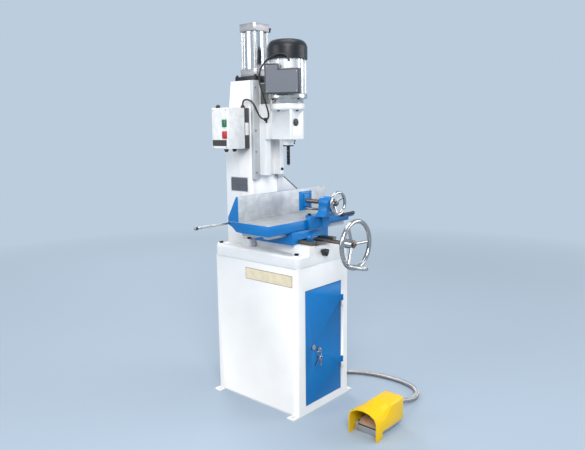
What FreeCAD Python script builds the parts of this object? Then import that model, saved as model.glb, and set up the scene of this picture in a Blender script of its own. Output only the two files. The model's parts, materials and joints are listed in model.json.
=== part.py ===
"""Floor-standing pneumatic hollow-chisel mortiser on a cabinet stand, in millimetres.

Frame: origin on the floor at the middle of the four floor-bolt holes, X to the
operator's right, Y to the back of the machine, Z up.
"""
import FreeCAD, Part
import math
import os
import re

import Sketcher

V = FreeCAD.Vector
doc = FreeCAD.newDocument("pneumatic_mortiser")
sheet = doc.addObject("Spreadsheet::Sheet", "Sizes")

# Driving dimensions. Each one is written here once.
SIZES = {
    # cabinet stand
    "cabinet_width": 320, "cabinet_depth": 464, "cabinet_height": 609, "cabinet_wall": 3,
    "door_width": 230, "door_height": 474, "door_bottom": 37, "door_shift": -1,
    "door_gap": 2, "door_sheet": 3, "door_rim_depth": 13, "door_proud": 1,
    "tab_length": 35, "tab_width": 36, "tab_thick": 6, "floor_hole_radius": 6,
    "knuckle_radius": 4.5, "knuckle_length": 24, "hinge_pin_radius": 2.2, "hinge_leaf": 15,
    "lower_hinge_up": 94, "upper_hinge_up": 365,
    # lock and keys
    "lock_from_edge": 45, "lock_up": 234, "barrel_radius": 8, "barrel_collar": 11,
    "plug_radius": 5, "cam_reach": 57, "cam_thick": 3, "key_thick": 2, "key_reach": 30,
    "key_bow": 11, "key_hole": 3.6, "ring_radius": 12, "ring_wire": 1, "spare_key_length": 52,
    # bed casting
    "bed_width": 330, "bed_depth": 470, "bed_height": 46, "bed_corner": 20, "bed_edge": 9,
    "way_width": 190, "way_block_height": 31, "way_length": 291, "dovetail_height": 16,
    "dovetail_top_half": 80, "dovetail_inset": 9.2, "channel_width": 120, "channel_floor": 16,
    "channel_wall": 20, "channel_lip": 22, "boss_radius": 17, "boss_height": 4,
    "bed_bolt_across": 292, "bed_bolt_along": 428, "bolt_radius": 6, "bolt_head": 9.5,
    "bolt_head_height": 7,
    # column casting and its guides
    "column_width": 180, "column_front": 75, "column_back": 235, "column_back_top": 192,
    "column_slope_from": 391, "column_height": 681, "column_wall": 12, "foot_width": 250,
    "foot_front": 57, "foot_back": 116, "foot_height": 32, "slot_width": 60, "slot_from": 345,
    "column_bolt_across": 224, "column_bolt_front": 76,
    "guide_thick": 15, "guide_from": 278, "guide_mouth_half": 54, "guide_flare": 8,
    # cylinder
    "cylinder_y": 133.5, "plate_side": 120, "plate_thick": 20, "cap_side": 95, "cap_thick": 30,
    "cap_corner": 9, "tube_length": 152, "bore_radius": 40, "tube_wall": 3.5,
    "tie_radius": 5, "tie_pitch": 72, "rod_radius": 10, "piston_thick": 17, "piston_gap": 3,
    "rod_nut_radius": 14, "rod_nut_height": 14, "fitting_radius": 6, "fitting_reach": 16,
    # switch box
    "switch_width": 96, "switch_height": 163, "switch_base_depth": 28, "switch_cover_depth": 93,
    "switch_wall": 3, "switch_front": 84, "switch_rise": 407, "button_width": 22,
    "button_height": 28, "button_from_front": 17, "start_up": 102, "stop_up": 56,
    "button_proud": 6, "button_travel": 4, "gland_radius": 9, "gland_length": 12,
    "gland_near": 60, "gland_lead": 14, "gland_far": 110, "gland_low_far": 105, "gland_in": 22,
    "gland_far_in": 66, "gland_low_in": 28,
    # head
    "spindle_y": -48, "slide_height": 290, "slide_rise": 295, "rib_outer": 52,
    "rib_inner": 27, "rib_front": 25, "slide_web": 57, "bracket_thick": 30,
    "bracket_up": 230, "bracket_width": 48, "head_width": 84, "head_front": -101,
    "head_back": 12, "head_rise": 443, "head_height": 115, "head_corner": 8,
    "head_plate_half": 60, "head_plate_thick": 15, "head_disc_radius": 68,
    "head_disc_height": 26, "nose_height": 26, "nose_top_radius": 27, "nose_end_radius": 21,
    "head_bore": 30, "head_floor": 12, "plug_hole": 13, "plug_rim": 14.5, "plug_shift": -14,
    "plug_up": 67,
    # chisel and bit
    "bush_radius": 14, "bush_rim": 20, "bush_rim_thick": 3, "bush_length": 37,
    "chisel_side": 9.5, "chisel_length": 79, "shank_radius": 9.5, "shank_length": 34,
    "bit_radius": 3.4, "bit_clearance": 0.35, "bit_proud": 2, "flute_length": 60,
    "chip_window_up": 22, "chip_window_height": 40,
    # motor
    "shaft_radius": 9.5, "shield_low_radius": 64, "shield_radius": 80, "shield_height": 40,
    "motor_radius": 71, "motor_bore": 60, "motor_height": 138, "fin_count": 24,
    "fin_height": 4.5, "fin_thick": 3, "motor_cap": 12, "cowl_radius": 81, "cowl_height": 72,
    "cowl_skirt": 5, "cowl_dome": 30, "cowl_wall": 2, "core_radius": 45, "core_length": 100,
    "chuck_radius": 19, "chuck_length": 48, "terminal_turn": 25.3, "terminal_width": 142,
    "terminal_height": 116, "terminal_depth": 28, "terminal_from": 76.3, "terminal_step": 20,
    "terminal_ledge": 60, "terminal_rise": 619, "terminal_gland_side": 34,
    "terminal_shift": -7,
    "clip_radius": 7,
    # saddle
    "saddle_width": 230, "saddle_front": -164, "saddle_length": 204, "saddle_floor": 18,
    "saddle_lip": 16.9, "slip": 0.15, "gib_thick": 5, "hub_radius": 20,
    "hub_reach": 22, "shaft_rise": 44, "web_half": 24, "pinion_pocket": 46,
    # table feed
    "gear_module": 2, "pinion_teeth": 16, "pinion_face": 40, "pinion_y": -85, "rack_teeth": 37,
    "rack_back": 10, "backlash": 0.15, "feed_shaft_radius": 8, "bush_wall": 3,
    # cross feed
    "cross_x": -12, "cross_screw_radius": 8, "cross_knob_radius": 16, "knob_length": 20,
    "nut_half": 20, "nut_length": 40,
    # table and fence
    "table_left": -245, "table_right": 300, "table_front": -165, "table_rise": 124,
    "table_depth": 42, "table_back": 61, "tail_front": -130,
    "tail_back": 8, "fence_height": 101, "fence_plate": 12, "fence_foot": 16, "fence_rib": 15,
    # vise
    "vise_x": 58, "vise_rise": 64, "vise_base_width": 100, "vise_base_height": 11,
    "vise_lip": 17, "vise_lip_drop": 37, "vise_boss_radius": 25, "vise_boss_length": 50,
    "vise_boss_back": -178, "vise_screw_radius": 9, "jaw_width": 73, "jaw_height": 79,
    "jaw_thick": 9, "jaw_face": -84, "guide_rod_radius": 4, "guide_rod_down": 32,
    "guide_rod_length": 95,
    # handwheels
    "wheel_radius": 100, "wheel_rim": 9, "wheel_y": -388, "wheel_hub_radius": 17,
    "wheel_hub_length": 34, "spoke_radius": 6, "spoke_count": 3, "grip_radius": 10,
    "grip_length": 74, "grip_angle": 232, "stud_radius": 4,
    "small_wheel_radius": 50, "small_rim": 6, "small_wheel_y": -260, "small_hub_radius": 11,
    "small_hub_length": 21, "small_spoke_radius": 4,
    # stop rod and locking lever
    "stop_rod_radius": 4.5, "stop_rod_reach": 165, "stop_rod_y": 50, "stop_rod_bore": 120,
    "stop_rod_down": 7, "lever_length": 85, "lever_hub": 9,
    "lever_x": 205, "lever_down": 5,
    # foot switch
    "foot_left": -122, "foot_length": 184, "foot_y": -508, "foot_width_half": 63,
    "guard_wall": 4, "guard_arch": 108, "guard_rear": 117, "guard_leg": 42, "guard_under": 28,
    "guard_blend": 40, "guard_box": 84,
    "foot_base_from": -88, "foot_base_half": 47, "foot_base_height": 26,
    "treadle_length": 112, "treadle_half": 37, "treadle_thick": 5, "treadle_rise": 38,
    "pedal_pivot_z": 33, "pedal_pin_radius": 3,
    "foot_spring_radius": 8, "foot_spring_wire": 0.9, "foot_spring_turns": 6,
    "foot_spring_length": 57.5,
    "chip_guard_reach": 104, "chip_guard_height": 83, "chip_guard_thick": 3,
    "chip_guard_drop": 62,
    # loose leads
    "lead_diameter": 7, "conduit_diameter": 20, "conduit_y": -75, "conduit_z": 32,
    "foot_gland_shift": 13, "foot_gland_z": 40,
}

# Heights above the floor that follow from what each piece stands on.
HEIGHTS = {
    "cross_z": "cabinet_height + bed_height",
    "shaft_z": "cabinet_height + bed_height + shaft_rise",
    "table_top": "cabinet_height + bed_height + table_rise",
    "vise_z": "cabinet_height + bed_height + table_rise + vise_rise",
    "slide_bottom": "cabinet_height + bed_height + slide_rise",
    "head_bottom": "cabinet_height + bed_height + head_rise",
    "switch_bottom": "cabinet_height + bed_height + switch_rise",
    "terminal_bottom": "cabinet_height + bed_height + terminal_rise",
}

for row, (alias, value) in enumerate([*SIZES.items(), *HEIGHTS.items()], start=1):
    sheet.set(f"A{row}", str(value) if alias in SIZES else f"={value}")
    sheet.setAlias(f"A{row}", alias)
doc.recompute()


def size(alias):
    """Read one driving dimension."""
    return float(sheet.get(alias))


def formula(text):
    """Turn a formula in plain size names into one that the document can bind."""
    names = re.findall(r"[a-z_]+", str(text))
    bound = str(text)
    for name in sorted(set(names), key=len, reverse=True):
        if name in SIZES or name in HEIGHTS:
            bound = re.sub(rf"(?<![a-z_.]){name}(?![a-z_])", f"Sizes.{name}", bound)
    return bound


def bind(item, **settings):
    """Bind an object's properties to formulas."""
    for prop, text in settings.items():
        item.setExpression(prop, formula(text))
    return item


def place(item, x="0", y="0", z="0"):
    for axis, text in (("x", x), ("y", y), ("z", z)):
        item.setExpression(f"Placement.Base.{axis}", formula(text))
    return item


# ---------------------------------------------------------------- primitives
TURN = {
    "X": FreeCAD.Rotation(V(0, 1, 0), 90),
    "Y": FreeCAD.Rotation(V(1, 0, 0), -90),
    "Z": FreeCAD.Rotation(),
}


def box(x, y, z, dx, dy, dz):
    """A box from its lowest corner."""
    item = doc.addObject("Part::Box", "block")
    bind(item, Length=dx, Width=dy, Height=dz)
    return place(item, x, y, z)


def mid_box(x, y, z, dx, dy, dz):
    """A box centred in X and Y, standing on z."""
    return box(f"({x}) - ({dx}) / 2", f"({y}) - ({dy}) / 2", z, dx, dy, dz)


def rod(axis, x, y, z, radius, length):
    """A round bar that runs from its start along +X, +Y or +Z."""
    item = doc.addObject("Part::Cylinder", "round")
    item.Placement = FreeCAD.Placement(V(), TURN[axis])
    bind(item, Radius=radius, Height=length)
    return place(item, x, y, z)


def cone(axis, x, y, z, start_radius, end_radius, length):
    item = doc.addObject("Part::Cone", "taper")
    item.Placement = FreeCAD.Placement(V(), TURN[axis])
    bind(item, Radius1=start_radius, Radius2=end_radius, Height=length)
    return place(item, x, y, z)


def ring(axis, x, y, z, radius, wire):
    item = doc.addObject("Part::Torus", "ring")
    item.Placement = FreeCAD.Placement(V(), TURN[axis])
    bind(item, Radius1=radius, Radius2=wire)
    return place(item, x, y, z)


def fuse(*parts):
    item = doc.addObject("Part::MultiFuse", "joined")
    item.Shapes = list(parts)
    item.Refine = True
    return item


def cut(base, *tools):
    item = doc.addObject("Part::Cut", "cut")
    item.Base = base
    item.Tool = tools[0] if len(tools) == 1 else fuse(*tools)
    item.Refine = True
    return item


def group(*parts):
    """Several separate solids that share one node."""
    item = doc.addObject("Part::Compound", "set")
    item.Links = list(parts)
    return item


def turned(item, axis, angle, x="0", y="0", z="0"):
    """Turn an object about an axis through (x, y, z), as a group of one."""
    holder = doc.addObject("Part::Compound", "turned")
    holder.Links = [item]
    holder.Placement = FreeCAD.Placement(V(), FreeCAD.Rotation(axis, 0))
    holder.setExpression("Placement.Rotation.Angle", formula(angle))
    return place(holder, x, y, z)


# ---------------------------------------------------------------- sketched bodies
def origin_plane(body, role):
    return next(item for item in body.Origin.OriginFeatures if item.Role == role)


def outline(body, role, points):
    """A closed outline of straight lines whose corners are bound to formulas."""
    sketch = body.newObject("Sketcher::SketchObject", "outline")
    sketch.AttachmentSupport = [(origin_plane(body, role), "")]
    sketch.MapMode = "FlatFace"
    count = len(points)
    seeds = [V(9 * math.cos(2 * math.pi * k / count), 9 * math.sin(2 * math.pi * k / count), 0)
             for k in range(count)]
    for k in range(count):
        sketch.addGeometry(Part.LineSegment(seeds[k], seeds[(k + 1) % count]), False)
    for k in range(count):
        sketch.addConstraint(Sketcher.Constraint("Coincident", k, 2, (k + 1) % count, 1))
    for k, corner in enumerate(points):
        for letter, kind, seed, text in (("u", "DistanceX", seeds[k].x, corner[0]),
                                         ("v", "DistanceY", seeds[k].y, corner[1])):
            index = sketch.addConstraint(Sketcher.Constraint(kind, -1, 1, k, 1, seed))
            sketch.renameConstraint(index, f"{letter}{k}")
            sketch.setExpression(f"Constraints.{letter}{k}", formula(text))
    return sketch


def prism(role, points, length, x="0", y="0", z="0"):
    """An outline padded towards +X (YZ_Plane), +Y (XZ_Plane) or +Z (XY_Plane)."""
    body = doc.addObject("PartDesign::Body", "body")
    pad = body.newObject("PartDesign::Pad", "pad")
    pad.Profile = outline(body, role, points)
    pad.Reversed = role == "XZ_Plane"
    bind(pad, Length=length)
    return place(body, x, y, z)


def blended(role, first, last, length, x="0", y="0", z="0"):
    """A body that changes from one outline to another with as many corners."""
    body = doc.addObject("PartDesign::Body", "body")
    near, far = outline(body, role, first), outline(body, role, last)
    far.setExpression("AttachmentOffset.Base.z", formula(length))
    skin = body.newObject("PartDesign::AdditiveLoft", "blend")
    skin.Profile = near
    skin.Sections = [far]
    skin.Ruled = True
    return place(body, x, y, z)


def turning(points, x="0", y="0", z="0", axis="Z"):
    """A turned piece: (radius, height) points revolved about its own axis."""
    body = doc.addObject("PartDesign::Body", "body")
    revolve = body.newObject("PartDesign::Revolution", "turned")
    sketch = outline(body, "XZ_Plane", points)
    revolve.Profile = sketch
    revolve.ReferenceAxis = (sketch, ["V_Axis"])
    revolve.Angle = 360
    body.Placement = FreeCAD.Placement(V(), TURN[axis])
    return place(body, x, y, z)


def soften(body, radius, picks, kind="PartDesign::Fillet"):
    """Round or bevel the edges of a body that a test picks."""
    doc.recompute()
    base = body.Tip
    chosen = [f"Edge{k}" for k, edge in enumerate(base.Shape.Edges, start=1) if picks(edge)]
    feature = body.newObject(kind, "softened")
    feature.Base = (base, chosen)
    bind(feature, **{"Radius" if kind.endswith("Fillet") else "Size": radius})
    return body


def runs_along(axis):
    """A test for straight edges along X, Y or Z."""
    def test(edge):
        if not isinstance(edge.Curve, (Part.Line, Part.LineSegment)):
            return False
        way = (edge.Vertexes[-1].Point - edge.Vertexes[0].Point).normalize()
        return abs(getattr(way, axis.lower())) > 0.999
    return test


SUBPARTS = []
FITTINGS = []


def keep(item, name):
    """Name a finished sub-part."""
    item.Label = name
    SUBPARTS.append(item)
    return item


# ---------------------------------------------------------------- places worked out from the sizes
BED_TOP = "(cabinet_height + bed_height)"
WAY_FOOT = f"({BED_TOP} + way_block_height)"
WAY_TOP = f"({WAY_FOOT} + dovetail_height)"
BED_FRONT = "(-bed_depth / 2)"
CABINET_FRONT = "(-cabinet_depth / 2)"
DOOR_LEFT = "(door_shift - door_width / 2)"
DOOR_RIGHT = "(door_shift + door_width / 2)"
HINGE_X = f"({DOOR_RIGHT} + door_gap + 3)"
HINGE_Y = f"({CABINET_FRONT} - knuckle_radius - 0.5)"
LOCK_X = f"({DOOR_LEFT} + lock_from_edge)"
LOCK_Z = "(door_bottom + lock_up)"
COLUMN_TOP = f"({BED_TOP} + column_height)"
GUIDE_FRONT = "(column_front - guide_thick)"
SLIDE_BOTTOM = "slide_bottom"
SLIDE_TOP = "(slide_bottom + slide_height)"
CAP_BOTTOM = f"({COLUMN_TOP} + plate_thick)"
TUBE_BOTTOM = f"({CAP_BOTTOM} + cap_thick)"
TUBE_TOP = f"({TUBE_BOTTOM} + tube_length)"
BRACKET_BOTTOM = "(slide_bottom + bracket_up)"
BRACKET_TOP = f"({BRACKET_BOTTOM} + bracket_thick)"
SWITCH_BACK = "(-column_width / 2)"
SWITCH_FACE = f"({SWITCH_BACK} - switch_base_depth - switch_cover_depth)"
SWITCH_TOP = "(switch_bottom + switch_height)"
HEAD_TOP = "(head_bottom + head_height + head_disc_height)"
NOSE_END = "(head_bottom - nose_height)"
MOTOR_BOTTOM = f"({HEAD_TOP} + shield_height)"
MOTOR_TOP = f"({MOTOR_BOTTOM} + motor_height)"
CHISEL_TIP = f"({NOSE_END} - 2 - chisel_length)"
SADDLE_FLOOR = f"({WAY_TOP} + saddle_floor)"
SADDLE_TOP = f"({SADDLE_FLOOR} + saddle_lip)"
TABLE_UNDER = "(table_top - table_depth)"
TABLE_LENGTH = "(table_right - table_left)"
PITCH_RADIUS = "(gear_module * pinion_teeth / 2)"
RACK_PITCH_Z = f"(shaft_z + {PITCH_RADIUS})"
TOOTH_PITCH = "(gear_module * 3.14159265)"


# ---------------------------------------------------------------- cabinet stand
def knuckles(offset):
    """One barrel on each hinge line, offset along the pin."""
    return [rod("Z", HINGE_X, HINGE_Y, f"door_bottom + {up} + ({offset})",
                "knuckle_radius", "knuckle_length")
            for up in ("lower_hinge_up", "upper_hinge_up")]


def make_cabinet_shell():
    shell = mid_box("0", "0", "0", "cabinet_width", "cabinet_depth", "cabinet_height")
    inside = mid_box("0", "0", "cabinet_wall", "cabinet_width - 2 * cabinet_wall",
                     "cabinet_depth - 2 * cabinet_wall", "cabinet_height - 2 * cabinet_wall")
    opening = box(f"{DOOR_LEFT} - door_gap", f"{CABINET_FRONT} - 1", "door_bottom - door_gap",
                  "door_width + 2 * door_gap", "cabinet_wall + 2", "door_height + 2 * door_gap")
    keeper = box(f"{DOOR_LEFT} - door_gap - cabinet_wall", f"{CABINET_FRONT} + cabinet_wall - 0.5",
                 "door_bottom - door_gap", "cabinet_wall", "door_rim_depth + 3",
                 "door_height + 2 * door_gap")
    pieces = [cut(shell, inside, opening), keeper]
    for side in (-1, 1):
        for end in (-1, 1):
            x = f"{side} * (cabinet_width / 2 + tab_length / 2 - 1)"
            y = f"{end} * (cabinet_depth / 2 - tab_width / 2)"
            pieces.append(mid_box(x, y, "0", "tab_length + 2", "tab_width", "tab_thick"))
    for up in ("lower_hinge_up", "upper_hinge_up"):
        pieces.append(box(HINGE_X, f"{CABINET_FRONT} - 3", f"door_bottom + {up}",
                          "hinge_leaf", "3.5", "knuckle_length"))
    pieces += knuckles("0")
    holes = [rod("Z", f"{side} * (cabinet_width / 2 + tab_length / 2)",
                 f"{end} * (cabinet_depth / 2 - tab_width / 2)", "-1",
                 "floor_hole_radius", "tab_thick + 2") for side in (-1, 1) for end in (-1, 1)]
    holes += [rod("Z", HINGE_X, HINGE_Y, f"door_bottom + {up} - 1", "hinge_pin_radius",
                  "knuckle_length + 2") for up in ("lower_hinge_up", "upper_hinge_up")]
    holes.append(rod("X", "cabinet_width / 2 - 10", "conduit_y", "conduit_z", "6", "20"))
    keep(cut(fuse(*pieces), *holes), "cabinet_shell")


def make_door():
    back = f"{CABINET_FRONT} - door_proud"
    sheet_y = f"{back} + door_sheet"
    panel = box(DOOR_LEFT, back, "door_bottom", "door_width", "door_sheet", "door_height")
    rim = box(DOOR_LEFT, sheet_y, "door_bottom", "door_width", "door_rim_depth", "door_height")
    hollow = box(f"{DOOR_LEFT} + door_sheet", f"{sheet_y} - 0.01", "door_bottom + door_sheet",
                 "door_width - 2 * door_sheet", "door_rim_depth + 1",
                 "door_height - 2 * door_sheet")
    pieces = [panel, cut(rim, hollow)]
    lift = "knuckle_length + 0.4"
    for up in ("lower_hinge_up", "upper_hinge_up"):
        pieces.append(box(f"{HINGE_X} - hinge_leaf", f"{back} - 3",
                          f"door_bottom + {up} + {lift}", "hinge_leaf", "3.2",
                          "knuckle_length"))
    pieces += knuckles(lift)
    holes = [rod("Z", HINGE_X, HINGE_Y, f"door_bottom + {up} + {lift} - 1",
                 "hinge_pin_radius + 0.05", "knuckle_length + 2")
             for up in ("lower_hinge_up", "upper_hinge_up")]
    holes.append(rod("Y", LOCK_X, f"{back} - 5", LOCK_Z, "barrel_radius", "30"))
    keep(cut(fuse(*pieces), *holes), "door_panel")


def make_hinge_pins():
    pins = []
    for up in ("lower_hinge_up", "upper_hinge_up"):
        foot = f"door_bottom + {up} - 1.5"
        shank = rod("Z", HINGE_X, HINGE_Y, f"{foot} + 1.5", "hinge_pin_radius",
                    "2 * knuckle_length + 0.8")
        low = rod("Z", HINGE_X, HINGE_Y, foot, "hinge_pin_radius + 1", "1.5")
        high = rod("Z", HINGE_X, HINGE_Y, f"{foot} + 2.3 + 2 * knuckle_length",
                   "hinge_pin_radius + 1", "1.5")
        pins.append(fuse(shank, low, high))
    keep(group(*pins), "hinge_pins")


def make_lock():
    front = f"{CABINET_FRONT} - door_proud"
    body = rod("Y", LOCK_X, front, LOCK_Z, "barrel_radius", "19")
    collar = rod("Y", LOCK_X, f"{front} - 4", LOCK_Z, "barrel_collar", "4")
    bore = rod("Y", LOCK_X, f"{front} - 5", LOCK_Z, "plug_radius + 0.05", "30")
    keep(cut(fuse(body, collar), bore), "lock_barrel")

    plug = rod("Y", LOCK_X, f"{front} - 4", LOCK_Z, "plug_radius", "27")
    cam = box(f"{LOCK_X} - 7", f"{front} + 20", f"{LOCK_Z} - 7", "14", "cam_thick",
              "cam_reach + 7")
    blade = box(f"{LOCK_X} - key_thick / 2", f"{front} - 22", f"{LOCK_Z} - 3", "key_thick",
                "19", "6")
    bow = rod("X", f"{LOCK_X} - key_thick / 2", f"{front} - key_reach", LOCK_Z, "key_bow",
              "key_thick")
    eye = rod("X", f"{LOCK_X} - 5", f"{front} - key_reach - 3", LOCK_Z, "key_hole", "10")
    keep(cut(fuse(plug, cam, blade, bow), eye), "lock_plug_and_key")

    eye_y = f"({front} - key_reach - 3)"
    ring_z = f"({LOCK_Z} - key_hole + ring_wire + 0.5 - ring_radius)"
    hoop = ring("Y", LOCK_X, eye_y, ring_z, "ring_radius", "ring_wire")
    keys = [hoop]
    hang_z = f"({ring_z} - ring_radius)"
    for shift, lean, length in (("-3.2", 24, "spare_key_length"), ("1.2", -6, "spare_key_length - 12")):
        head = rod("X", "0", "0", "-6", "10", "key_thick")
        hole = rod("X", "-1", "0", "0", "ring_wire + 0.4", "key_thick + 2")
        stem = box("0", "-3", f"-({length})", "key_thick", "6", f"{length} - 12")
        key = cut(fuse(head, stem), hole)
        keys.append(turned(key, V(1, 0, 0), lean, f"{LOCK_X} + {shift}", eye_y, hang_z))
    keep(group(*keys), "key_ring")


# ---------------------------------------------------------------- bed and column
def make_bed():
    half_x, half_y = "bed_width / 2", "bed_depth / 2"
    slab = prism("XY_Plane", [(f"-{half_x}", f"-{half_y}"), (half_x, f"-{half_y}"),
                              (half_x, half_y), (f"-{half_x}", half_y)], "bed_height",
                 z="cabinet_height")
    soften(slab, "bed_corner", runs_along("Z"))
    soften(slab, "bed_edge", lambda edge: edge.BoundBox.ZMin > size("bed_height") - 0.01)
    block = box("-way_width / 2", BED_FRONT, f"{BED_TOP} - 10", "way_width", "way_length",
                "way_block_height + 10")
    top, foot = "dovetail_top_half", "(dovetail_top_half - dovetail_inset)"
    tail = prism("XZ_Plane", [(f"-{foot}", "-1"), (foot, "-1"), (foot, "0"),
                              (top, "dovetail_height - 3"), (top, "dovetail_height"),
                              (f"-{top}", "dovetail_height"), (f"-{top}", "dovetail_height - 3"),
                              (f"-{foot}", "0")], "way_length", y=BED_FRONT, z=WAY_FOOT)
    bosses = [rod("Z", f"{a} * bed_bolt_across / 2", f"{b} * bed_bolt_along / 2",
                  f"{BED_TOP} - 8", "boss_radius", "boss_height + 8")
              for a in (-1, 1) for b in (-1, 1)]
    channel = box("-channel_width / 2", f"{BED_FRONT} + channel_wall",
                  "cabinet_height + channel_floor", "channel_width",
                  "way_length - channel_wall + 1", "150")
    lip = box("-channel_width / 2", f"{BED_FRONT} - 1", f"{BED_TOP} + channel_lip",
              "channel_width", "channel_wall + 2", "100")
    bearing = rod("Y", "cross_x", f"{BED_FRONT} - 1", "cross_z", "cross_screw_radius + 0.05",
                  "channel_wall + 2")
    bolt_holes = [rod("Z", f"{a} * bed_bolt_across / 2", f"{b} * bed_bolt_along / 2",
                      "cabinet_height - 1", "bolt_radius", "bed_height + 10")
                  for a in (-1, 1) for b in (-1, 1)]
    keep(cut(fuse(slab, block, tail, *bosses), channel, lip, bearing, *bolt_holes), "bed")


def make_machine_bolts():
    """Four bolts hold the bed to the cabinet and two hold the column's ears to the bed."""
    bolts = []

    def bolt(x, y, seat, length):
        head = prism("XY_Plane", [(f"bolt_head * {math.cos(a):.4f}", f"bolt_head * {math.sin(a):.4f}")
                                  for a in (math.radians(60 * k) for k in range(6))],
                     "bolt_head_height", x, y, seat)
        shank = rod("Z", x, y, f"{seat} - ({length})", "bolt_radius - 0.3", f"{length} + 1")
        return fuse(head, shank)

    for a in (-1, 1):
        for b in (-1, 1):
            bolts.append(bolt(f"{a} * bed_bolt_across / 2", f"{b} * bed_bolt_along / 2",
                              f"{BED_TOP} + boss_height", "bed_height + boss_height"))
        bolts.append(bolt(f"{a} * column_bolt_across / 2", "column_bolt_front",
                          f"{BED_TOP} + foot_height", "foot_height"))
    keep(group(*bolts), "machine_bolts")


def make_column():
    wall = "column_wall"
    casing = prism("YZ_Plane", [("column_front", "0"), ("column_back", "0"),
                                ("column_back", "column_slope_from"),
                                ("column_back_top", "column_height"),
                                ("column_front", "column_height")],
                   "column_width", x="-column_width / 2", z=BED_TOP)
    soften(casing, "6", lambda edge: edge.BoundBox.ZLength > size("column_height") / 3
           and edge.BoundBox.XLength < 0.01)
    foot = prism("XY_Plane", [("-foot_width / 2", "foot_front"), ("foot_width / 2", "foot_front"),
                              ("foot_width / 2", "foot_back"), ("-foot_width / 2", "foot_back")],
                 "foot_height", z=BED_TOP)
    soften(foot, "10", runs_along("Z"))
    void = prism("YZ_Plane", [(f"column_front + {wall}", "-1"), (f"column_back - {wall}", "-1"),
                              (f"column_back - {wall}", "column_slope_from"),
                              (f"column_back_top - {wall}", "column_height + 1"),
                              (f"column_front + {wall}", "column_height + 1")],
                 f"column_width - 2 * {wall}", x=f"-column_width / 2 + {wall}", z=BED_TOP)
    slot = box("-slot_width / 2", "column_front - 1", f"{BED_TOP} + slot_from", "slot_width",
               "column_wall + 2", "column_height")
    holes = [rod("Z", f"{a} * column_bolt_across / 2", "column_bolt_front", f"{BED_TOP} - 1",
                 "bolt_radius", "foot_height + 2") for a in (-1, 1)]
    keep(cut(fuse(casing, foot), void, slot, *holes), "column")


def make_guide_plates():
    plates = []
    for side in (-1, 1):
        outer = f"{side} * column_width / 2"
        mouth = f"{side} * guide_mouth_half"
        flared = f"{side} * (guide_mouth_half + guide_flare)"
        plates.append(prism("XY_Plane", [(outer, GUIDE_FRONT), (mouth, GUIDE_FRONT),
                                         (flared, "column_front"), (outer, "column_front")],
                            "column_height - guide_from", z=f"{BED_TOP} + guide_from"))
    keep(group(*plates), "guide_plates")


def make_chip_guard():
    """A sheet bolted to the column's front that keeps chips off the ways behind the fence."""
    left, right = "(column_width / 2 - 26)", "(column_width / 2 + chip_guard_reach)"
    low = f"({BED_TOP} + guide_from - chip_guard_drop)"
    beside, under = "(column_width / 2 + 1)", "(chip_guard_drop - 3)"
    plate = prism("XZ_Plane", [(left, "0"), (right, "0"), (right, "3"),
                               (f"{left} + 30", "chip_guard_height - 12"),
                               (beside, "chip_guard_height - 12"), (beside, under),
                               (left, under)],
                  "chip_guard_thick", y="column_front - chip_guard_thick", z=low)
    keep(plate, "chip_guard")


# ---------------------------------------------------------------- air cylinder
def square_cap(z):
    half, corner = "cap_side / 2", "cap_corner"
    points = []
    for a, b in ((1, 1), (-1, 1), (-1, -1), (1, -1)):
        pair = [(f"{a} * ({half})", f"{b} * ({half} - {corner})"),
                (f"{a} * ({half} - {corner})", f"{b} * ({half})")]
        points += pair if a * b > 0 else pair[::-1]
    return prism("XY_Plane", points, "cap_thick", "0", "cylinder_y", z)


def tie_holes(z, length):
    return [rod("Z", f"{a} * tie_pitch / 2", f"cylinder_y + {b} * tie_pitch / 2", z,
                "tie_radius", length) for a in (-1, 1) for b in (-1, 1)]


def make_cylinder():
    plate = mid_box("0", "cylinder_y", COLUMN_TOP, "plate_side", "plate_side", "plate_thick")
    clear = rod("Z", "0", "cylinder_y", f"{COLUMN_TOP} - 1", "rod_radius + 3", "plate_thick + 2")
    keep(cut(plate, clear), "cylinder_plate")

    lower = cut(square_cap(CAP_BOTTOM),
                rod("Z", "0", "cylinder_y", f"{CAP_BOTTOM} - 1", "rod_radius + 0.05",
                    "cap_thick + 2"), *tie_holes(f"{CAP_BOTTOM} + 4", "cap_thick"))
    upper = cut(square_cap(TUBE_TOP), *tie_holes(f"{TUBE_TOP} - 1", "cap_thick"))
    keep(group(lower, upper), "cylinder_caps")

    tube = rod("Z", "0", "cylinder_y", TUBE_BOTTOM, "bore_radius + tube_wall", "tube_length")
    bore = rod("Z", "0", "cylinder_y", f"{TUBE_BOTTOM} - 1", "bore_radius", "tube_length + 2")
    keep(cut(tube, bore), "cylinder_tube")
    keep(group(*tie_holes(f"{CAP_BOTTOM} + 4", "tube_length + 2 * cap_thick - 5")), "tie_rods")

    fittings = []
    for z in (f"{CAP_BOTTOM} + cap_thick / 2", f"{TUBE_TOP} + cap_thick / 2"):
        stem = rod("X", "cap_side / 2", "cylinder_y - 30", z, "fitting_radius", "fitting_reach")
        elbow = rod("Z", "cap_side / 2 + fitting_reach - 5", "cylinder_y - 30",
                    f"{z} - 13", "fitting_radius - 1", "13")
        fittings.append(fuse(stem, elbow))
    FITTINGS.extend(fittings)

    foot = f"({BRACKET_BOTTOM} - rod_nut_height)"
    top = f"({TUBE_TOP} - piston_gap - {foot})"
    keep(turning([("0", "0"), ("rod_nut_radius", "0"), ("rod_nut_radius", "rod_nut_height"),
                  ("rod_radius", "rod_nut_height"), ("rod_radius", f"{top} - piston_thick"),
                  ("bore_radius - 0.1", f"{top} - piston_thick"), ("bore_radius - 0.1", top),
                  ("0", top)], "0", "cylinder_y", foot), "piston_rod")


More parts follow.
